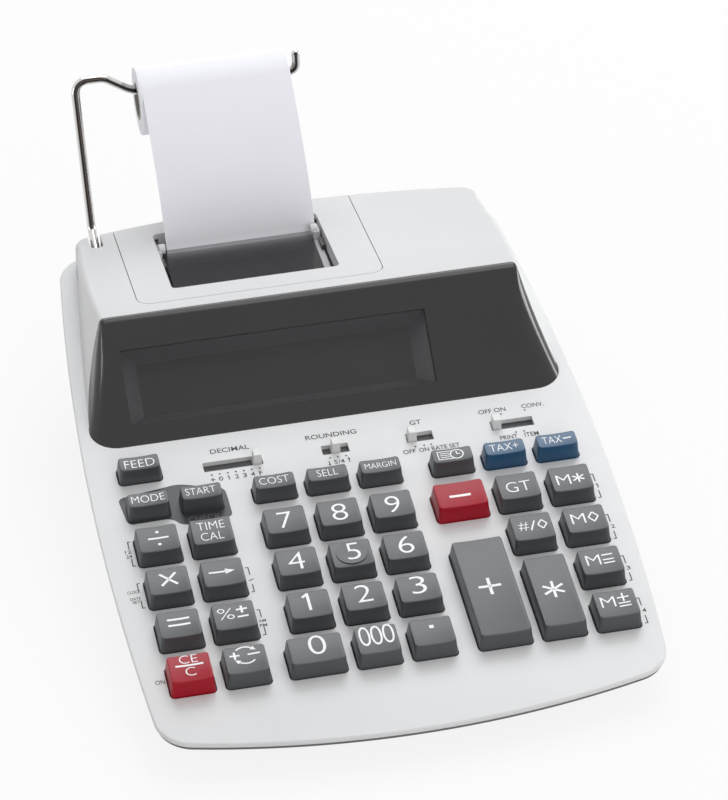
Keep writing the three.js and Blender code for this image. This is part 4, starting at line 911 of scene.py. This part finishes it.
# Slide switches: a pale knob on a thin strip that slides over the switch's own pale body. The
# bodies stand in a row under the deck, and show through its slots.
knob_plastic = moulded("knob_plastic", (0.7, 0.7, 0.69), 0.4)
tray_plastic = moulded("switch_body_plastic", (0.75, 0.75, 0.74), 0.5)
knob_half, knob_pinch, knob_foot, knob_top = 1.7, 0.35, -2.2, 4.0
strip_short, strip_reach, strip_foot, strip_top = 3.3, 0.7, -2.4, -1.9
tray_end, tray_side, tray_foot, tray_top = 3.5, 1.5, -3.7, -2.5
trays = bmesh.new()
for name, (first, places, rest) in switches.items():
    travel = switch_pitch * (places - 1)
    long_end = knob_half + strip_reach * travel
    left, right = (long_end, strip_short) if rest > places / 2 else (strip_short, long_end)
    knob_x = first + switch_pitch * rest
    slider = bmesh.new()
    for x0, x1, half_depth, low, high, pinch in (
        (-left, right, slot_depth / 2 + 1.6, strip_foot, strip_top, 0),
        (-knob_half, knob_half, slot_depth / 2 - fit, knob_foot, knob_top, knob_pinch),
    ):
        for v in solid_box(slider, x0, x1, -half_depth, half_depth, low, high):
            if v.co.z > low + 0.1:
                v.co.x -= math.copysign(pinch, v.co.x - (x0 + x1) / 2)
                v.co.y -= math.copysign(pinch, v.co.y)
    set_down(slider, lambda x, y, z: on_deck(knob_x + x, slot_middle + y, z))
    piece = as_piece(name + "_knob", slider)
    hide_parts(name)
    finished(piece, [knob_plastic], name, edge=0.25)
    solid_box(
        trays, first - tray_end, first + travel + tray_end, slot_middle - slot_depth / 2 - tray_side,
        slot_middle + slot_depth / 2 + tray_side, tray_foot, tray_top)
set_down(trays, on_deck)
finished(as_piece("switch_bodies", trays), [tray_plastic], "housing", edge=0.2)

# Print on the deck: switch marks, brackets beside the key columns and a dark field behind two of
# the keys, screened on in grey ink.
print_ink = moulded("deck_ink", (0.045, 0.045, 0.05), 0.55, grain=0.02)
pale_ink = moulded("pale_ink", (0.18, 0.18, 0.19), 0.55, grain=0.02)
field_ink = moulded("field_ink", (0.035, 0.036, 0.038), 0.45, grain=0.04)
print_weight, print_rise, field_rise, word_rise = 0.008, 0.06, 0.03, 0.07
bm = bmesh.new()
for text, *place in (
    ("DECIMAL", -38.9, 152.5, 14.1, 2.4), ("ROUNDING", -2, 152.5, 18.6, 2.4),
    ("GT", 29, 152.6, 4.1, 2.4), ("OFF ON", 57.4, 152.9, 10, 2.3),
    ("CONV.", 72.4, 152.9, 8.1, 2.2), ("PRINT", 60.1, 137.7, 6.4, 2.2),
    ("ITEM", 68.5, 137.7, 5.2, 2.2), ("OFF", 23.7, 137.6, 4.6, 2.2), ("ON", 29, 137.6, 3.6, 2.2),
    ("RATE SET", 36.9, 137.6, 10.2, 2.2), ("5/4", -1.8, 137.8, 3.8, 2.2),
    ("ON", -82.8, 41.9, 3.3, 2), ("0", -44.6, 137.8, 1.5, 2.2), ("2", -38.85, 137.8, 1.4, 2.2),
    ("3", -36, 137.8, 1.4, 2.2), ("4", -33.1, 137.8, 1.5, 2.2), ("F", -30.2, 137.8, 1.2, 2.2),
    ("12", -83, 107.2, 2.2, 1.7), ("24", -83, 104.8, 2.2, 1.7),
    ("CLOCK", -84.3, 86.9, 4.6, 1.5), ("DATE", -84.3, 83.6, 3.7, 1.3),
    ("SET", -84.2, 81.9, 2.7, 1.3), ("AM", -43.7, 63.9, 2.5, 1.4), ("PM", -43.7, 61.6, 2.5, 1.4),
    ("2", 84.9, 84.4, 1.5, 1.9), ("3", 84.9, 62.8, 1.4, 1.9), ("4", 84.9, 41.3, 1.5, 1.9),
):
    letters(bm, text, *place, print_weight)
dot_radius, dot_pitch = 0.38, 2.883
for i in range(7):
    dot(bm, -47.5 + i * dot_pitch, 140.3, dot_radius)
for x, up in (
    (-4.7, 140.3), (-1.8, 140.3), (1.1, 140.3), (26.3, 139.8), (29.5, 139.8), (32.1, 139.8),
    (60.2, 150.5), (69, 150.8), (63.2, 139.8), (66.2, 139.8),
):
    dot(bm, x, up, dot_radius)
for x, up in ((-41.7, 137.8), (84.9, 106)):
    bar(bm, x, up - 1.1, x, up + 1.1, 0.4)
    bar(bm, x, up + 1, x - 0.5, up + 0.6, 0.35)
bar(bm, -48.4, 137.8, -46.6, 137.8, 0.4)
bar(bm, -47.5, 138.7, -47.5, 136.9, 0.35)
for x, way in ((-5.4, -1), (1.8, 1)):
    bar(bm, x, 136.7, x, 138.9, 0.35)
    arrow_head(bm, x, 137.8 + way * 0.9, 90 * way, 1.2, 1.1)
for x, low, high, serif in (
    (-82.4, 99.8, 112.2, 1), (-82.6, 78.5, 90.8, 1), (-43.7, 78.5, 90.8, -1), (-43.7, 57, 69.4, -1),
    (84.6, 99.8, 112.2, -1), (84.6, 78.2, 90.6, -1), (84.6, 56.6, 69.1, -1), (84.6, 35.1, 47.5, -1),
):
    for end, inner in ((low, 1), (high, -1)):
        bar(bm, x, end, x, end + inner * 3.8, 0.4)
        bar(bm, x - 0.2 * serif, end, x + 1.0 * serif, end, 0.4)
bar(bm, -44.6, 84.2, -42.8, 84.8, 0.4)
for v in bm.verts:
    v.co.z = print_rise
field_verts = [bm.verts.new((x, up, field_rise)) for x, up in (
    (-82.3, 134.9), (-80.7, 120.7), (-65.3, 121), (-61.9, 116.6), (-43.9, 117.6), (-44.2, 132.6),
    (-60.1, 138.2))]
bm.faces.new(field_verts).material_index = 1
rounded(bm, field_verts, 2.2, 5, "VERTICES")
letters(bm, "CHECK", -53.9, 118.9, 11.4, 2.9)
for v in bm.verts:
    if v.co.z == 0:
        v.co.z = word_rise
        for f in v.link_faces:
            f.material_index = 2
face_up(bm)
set_down(bm, on_deck)
deck_print = as_piece("deck_print", bm)
finished(deck_print, [print_ink, field_ink, pale_ink], "housing")

# Paper: a loose 57 mm strip that runs from the roll down to the tear bar and under it round the
# platen, and the roll, wound on its card core.
paper = moulded("bond_paper", (0.87, 0.865, 0.91), 0.85, grain=0.15, grain_scale=1400, shade=0.01)
roll_y, roll_z, roll_radius, core_radius = 289.9, 103.8, 12.9, 6.2
roll_middle, web_thick = -17.1, 0.2
platen_y, platen_z, platen_clear = 250.45, 44.36, 7.3
over_start, leave, slack = math.radians(88), math.radians(135), 22
under_start, under_turn, strip_gap = math.radians(151.4), math.radians(100), 0.05
bottom_y, bottom_z = 251.4, 60.5


def beside(y, z, radius, turn):
    """A place on a circle that is seen from the side."""
    return (y + radius * math.cos(turn), z + radius * math.sin(turn))


web_rings = []
for offset in (0, web_thick):
    over_radius = roll_radius + strip_gap + offset
    over = [over_start + (leave - over_start) * i / 12 for i in range(12)]
    line = [beside(roll_y, roll_z, over_radius, t) for t in over]
    first = Vector(beside(roll_y, roll_z, over_radius, leave))
    last = Vector((bottom_y - offset, bottom_z))
    second = first + Vector((-math.sin(leave), math.cos(leave))) * slack
    third = last + Vector((2, 20))
    for i in range(25):
        t = i / 24
        line.append(tuple(
            first * (1 - t) ** 3 + second * 3 * t * (1 - t) ** 2
            + third * 3 * t ** 2 * (1 - t) + last * t ** 3))
    under = [under_start + under_turn * i / 14 for i in range(15)]
    line += [beside(platen_y, platen_z, platen_clear + offset, t) for t in under]
    web_rings.append(line)
profile = web_rings[1] + web_rings[0][::-1]


def strip_edge(height, top, bottom):
    """The strip runs a little askew from the roll to the tear bar."""
    share = min(max((roll_z + roll_radius - height) / (roll_z + roll_radius - bottom_z), 0), 1)
    return top + (bottom - top) * share


strip = lofted("paper_strip", [
    [(strip_edge(z, top, bottom), y, z) for y, z in profile]
    for top, bottom in ((-45.0, -43.6), (11.2, 13.0))])
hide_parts("paper_web")
strip.data.materials.append(paper)
strip.data.shade_smooth()
strip.data.set_sharp_from_angle(angle=math.radians(60))
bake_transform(strip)

roll_paper, tree, shader = new_finish("wound_paper", Roughness=0.85)
place = added(tree, "TexCoord")
axis = added(tree, "VectorMath", "SUBTRACT", in_place(0, roll_y, roll_z))
flat = added(tree, "VectorMath", "MULTIPLY", (0, 1, 1))
reach = added(tree, "VectorMath", "LENGTH")
layers = added(tree, "TexNoise")
layers.noise_dimensions = "1D"
layers.inputs["Scale"].default_value = 5200
layer_tones = added(tree, "ValToRGB")
layer_tones.color_ramp.elements[0].color = (0.9, 0.9, 0.93, 1)
layer_tones.color_ramp.elements[1].color = (0.97, 0.97, 1, 1)
wired(
    tree, (place, "Object", axis, 0), (axis, 0, flat, 0), (flat, 0, reach, 0),
    (reach, "Value", layers, "W"), (layers, "Fac", layer_tones, "Fac"),
    (layer_tones, "Color", shader, "Base Color"))
card = moulded("core_card", (0.42, 0.4, 0.37), 0.9, grain=0.3, grain_scale=1500, shade=0.08)
core_outer, core_half, roll_half, roll_edge = 7.1, 28.8, 28.6, 0.2
bm = bmesh.new()
outline = [
    (-core_half, core_radius), (-core_half, core_outer), (-roll_half, core_outer),
    (-roll_half, roll_radius - roll_edge), (-roll_half + roll_edge, roll_radius)]
outline = outline + [(-x, r) for x, r in reversed(outline)]
verts = [bm.verts.new((roll_middle + x, roll_y, roll_z + r)) for x, r in outline]
edges = [bm.edges.new((a, b)) for a, b in zip(verts, verts[1:] + verts[:1])]
bmesh.ops.spin(
    bm, geom=verts + edges, cent=(0, roll_y, roll_z), axis=(1, 0, 0), angle=2 * math.pi, steps=72,
    use_merge=True, use_duplicate=False)
bmesh.ops.remove_doubles(bm, verts=bm.verts, dist=0.001)
for f in bm.faces:
    centre = f.calc_center_median()
    if math.hypot(centre.y - roll_y, centre.z - roll_z) < core_outer + 0.1:
        f.material_index = 1
set_down(bm)
bmesh.ops.recalc_face_normals(bm, faces=bm.faces)
paper_reel = as_piece("paper_reel", bm)
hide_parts("paper_roll")
finished(paper_reel, [roll_paper, card], "paper_roll")

# Wire arm: 3.2 mm steel wire, bent cold and chromed, with rounded ends. Its foot turns in the
# rear of the case, and its upper leg is the axle that the roll is pushed onto.
chrome, tree, shader = new_finish("chrome_with_painted_reflection", Metallic=1)
# The chrome's base colour is painted reflection, set by the way the skin faces: a dark core where it looks
# forward and a little up, pale bands beside it, and grey where it faces away.
skin_way = added(tree, "NewGeometry")
facing = added(tree, "VectorMath", "DOT_PRODUCT", (-0.1, -0.93, 0.35))
painted_reflection_tones = added(tree, "ValToRGB")
painted_reflection_ramp = painted_reflection_tones.color_ramp
painted_reflection_ramp.elements[0].color = (0.2, 0.195, 0.19, 1)
painted_reflection_ramp.elements[1].color = (0.03, 0.025, 0.022, 1)
for position, tone in ((0.3, 0.75), (0.82, 0.6), (0.92, 0.035)):
    painted_reflection_ramp.elements.new(position).color = (tone, tone * 0.97, tone * 0.94, 1)
wired(
    tree, (skin_way, "Normal", facing, 0), (facing, "Value", painted_reflection_tones, "Fac"),
    (painted_reflection_tones, "Color", shader, "Base Color"))
hazed(tree, shader, 0.05, 0.1, Scale=260)
wire_radius, arm_lean = 1.6, math.radians(19.4)
bend_radii = [4, 5, 6, 7, 14, 9, 5]
knee_y, knee_z, foot_y, foot_z, foot_length = 270, 62.8, 257.5, 57.5, 5.8
arm_rise, hook_rise = 56.5, 7.2


def in_arm_plane(x, rise):
    return Vector((x, knee_y + rise * math.sin(arm_lean), knee_z + rise * math.cos(arm_lean)))


axle_z = roll_z + core_radius - wire_radius - 0.3
shoulder_x, hook_x = -46.6, 15.4
top_x = arm_x + (shoulder_x - arm_x) * 0.4955
corners = [
    Vector((arm_x + foot_length, foot_y, foot_z)), Vector((arm_x, foot_y, foot_z)),
    in_arm_plane(arm_x, 0), in_arm_plane(arm_x, arm_rise), in_arm_plane(top_x, arm_rise),
    Vector((shoulder_x, roll_y, axle_z)), Vector((hook_x, roll_y, axle_z)),
    Vector((hook_x, roll_y, axle_z + hook_rise)),
]
wire_line = [corners[0]]
for bend_radius, before, corner, after in zip(bend_radii, corners, corners[1:], corners[2:]):
    into, out = corner - before, after - corner
    reach = min(bend_radius * math.tan(into.angle(out) / 2), into.length / 2, out.length / 2)
    a, b = corner - into.normalized() * reach, corner + out.normalized() * reach
    for i in range(13):
        t = i / 12
        wire_line.append(a * (1 - t) ** 2 + corner * 2 * t * (1 - t) + b * t ** 2)
wire_line.append(corners[-1])
wire_curve = bpy.data.curves.new("wire", "CURVE")
wire_curve.dimensions = "3D"
wire_curve.bevel_depth = wire_radius * mm
wire_curve.bevel_resolution = 5
wire_curve.use_fill_caps = True
spline = wire_curve.splines.new("POLY")
spline.points.add(len(wire_line) - 1)
for point, place in zip(spline.points, wire_line):
    point.co = (*in_place(*place), 1)
wire_mesh = mesh_of(wire_curve)
bm = bmesh.new()
bm.from_mesh(wire_mesh)
bpy.data.meshes.remove(wire_mesh)
for end in (wire_line[0], wire_line[-1]):
    bmesh.ops.create_uvsphere(
        bm, u_segments=16, v_segments=10, radius=wire_radius * mm * 0.985,
        matrix=Matrix.Translation(in_place(*end)))
wire_arm = as_piece("wire_arm", bm)
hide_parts("paper_arm")
finished(wire_arm, [chrome], "paper_arm", sharp=50)

# Printer: the frame with its pale side plates and ears, the smoked tear bar with its fine teeth,
# and the black rubber platen and carriage under it.
frame_plastic = moulded("printer_frame_plastic", (0.06, 0.06, 0.062), 0.45)
side_plates = bmesh.new()
for left, right in ((-47.4, -46.0), (11.4, 13.9)):
    solid_box(side_plates, left, right, 213, 262, 55.5, 59.4)
    solid_box(side_plates, left, right, 246, 251, 59, 63)
ear_radius, ear_y, ear_z = 1.9, 248.5, 63
for x0, x1 in ((-47.0, -44.5), (10.6, 13.2)):
    lay = Matrix.Translation(((x0 + x1) / 2, ear_y, ear_z)) @ Matrix.Rotation(math.pi / 2, 4, "Y")
    bmesh.ops.create_cone(
        side_plates, cap_ends=True, segments=24, radius1=ear_radius, radius2=ear_radius,
        depth=x1 - x0, matrix=lay)
set_down(side_plates)
shield = bmesh.new()
solid_box(shield, -45.8, 11.2, 213, 243.5, 56.2, 57.2)
for x0, x1, y1 in ((-45.4, -42.2, 222), (-10, 1.5, 219)):
    pad = solid_box(shield, x0, x1, 213.2, y1, 57.1, 57.4)
    for f in {f for v in pad for f in v.link_faces}:
        f.material_index = 1
set_down(shield)
shield_black = moulded("shield_black", (0.04, 0.04, 0.044), 0.5)
shield_pads = moulded("shield_pads", (0.12, 0.12, 0.125), 0.5)
finished(as_piece("ribbon_shield", shield), [shield_black, shield_pads], "housing")
white_frame = moulded("white_frame_plastic", (0.62, 0.62, 0.63), 0.45)
finished(as_piece("frame_side_plates", side_plates), [white_frame], "housing", edge=0.25)
bar_left, bar_right, bar_front, bar_rear = -45.4, 11.0, 211.5, 251.1
bar_top, bar_thick, tooth, tooth_deep = 60.8, 1.4, 0.95, 0.5
bar_bm = bmesh.new()
teeth = int((bar_right - bar_left) / tooth)
edge_line = [(bar_left, bar_front), (bar_right, bar_front)]
for i in range(teeth):
    x = bar_right - (bar_right - bar_left) * i / teeth
    edge_line += [(x, bar_rear - tooth_deep), (x - tooth / 2, bar_rear)]
edge_line.append((bar_left, bar_rear - tooth_deep))
verts = [bar_bm.verts.new(in_place(x, y, bar_top - bar_thick)) for x, y in edge_line]
raised = bmesh.ops.extrude_face_region(bar_bm, geom=[bar_bm.faces.new(verts)])
for v in [v for v in raised["geom"] if isinstance(v, bmesh.types.BMVert)]:
    v.co.z += bar_thick * mm
bmesh.ops.recalc_face_normals(bar_bm, faces=bar_bm.faces)
tear_bar = as_piece("toothed_bar", bar_bm)
tear_acrylic = smoked.copy()
tear_acrylic.name = "tear_bar_acrylic"
tree = tear_acrylic.node_tree
shader = tree.nodes["Principled BSDF"]
shader.inputs["Specular IOR Level"].default_value = 0.4
# Painted shade: the bar's alpha rises from 0.2 a millimetre before its rear edge to 0.8 eleven millimetres
# before it, so the bar darkens towards its front, where the printer's inside lies in shade.
place, axes = added(tree, "TexCoord"), added(tree, "SeparateXYZ")
painted_shade_alpha = added(
    tree, "MapRange", From_Min=front_edge + (bar_rear - 11) * mm,
    From_Max=front_edge + (bar_rear - 1) * mm, To_Min=0.8, To_Max=0.2)
wired(
    tree, (place, "Object", axes, 0), (axes, "Y", painted_shade_alpha, "Value"), (painted_shade_alpha, "Result", shader, "Alpha"))
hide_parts("tear_bar")
finished(tear_bar, [tear_acrylic], "housing")
rubber = moulded("platen_rubber", (0.02, 0.02, 0.02), 0.7)
inner_dark = moulded("carriage_black", (0.03, 0.03, 0.03), 0.5)
ink_foam = moulded("ink_foam", (0.03, 0.01, 0.03), 0.9, grain=0.4)
plated = moulded("plated_steel", (0.35, 0.36, 0.38), 0.4)
plated.node_tree.nodes["Principled BSDF"].inputs["Metallic"].default_value = 1
laminate = moulded("board_laminate", (0.03, 0.11, 0.045), 0.45)
silicone = moulded("membrane_silicone", (0.4, 0.42, 0.43), 0.7)
for name, material in (
    ("printer_frame", frame_plastic), ("platen_roller", rubber), ("print_carriage", inner_dark),
    ("ink_roller", ink_foam), ("drive_motor", plated), ("motor_pinion", plated),
    ("transformer", plated), ("main_board", laminate), ("key_membrane", silicone),
):
    repainted(name, material)

# The two boxes, of the CAD and of the dressed model.
low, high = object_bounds()
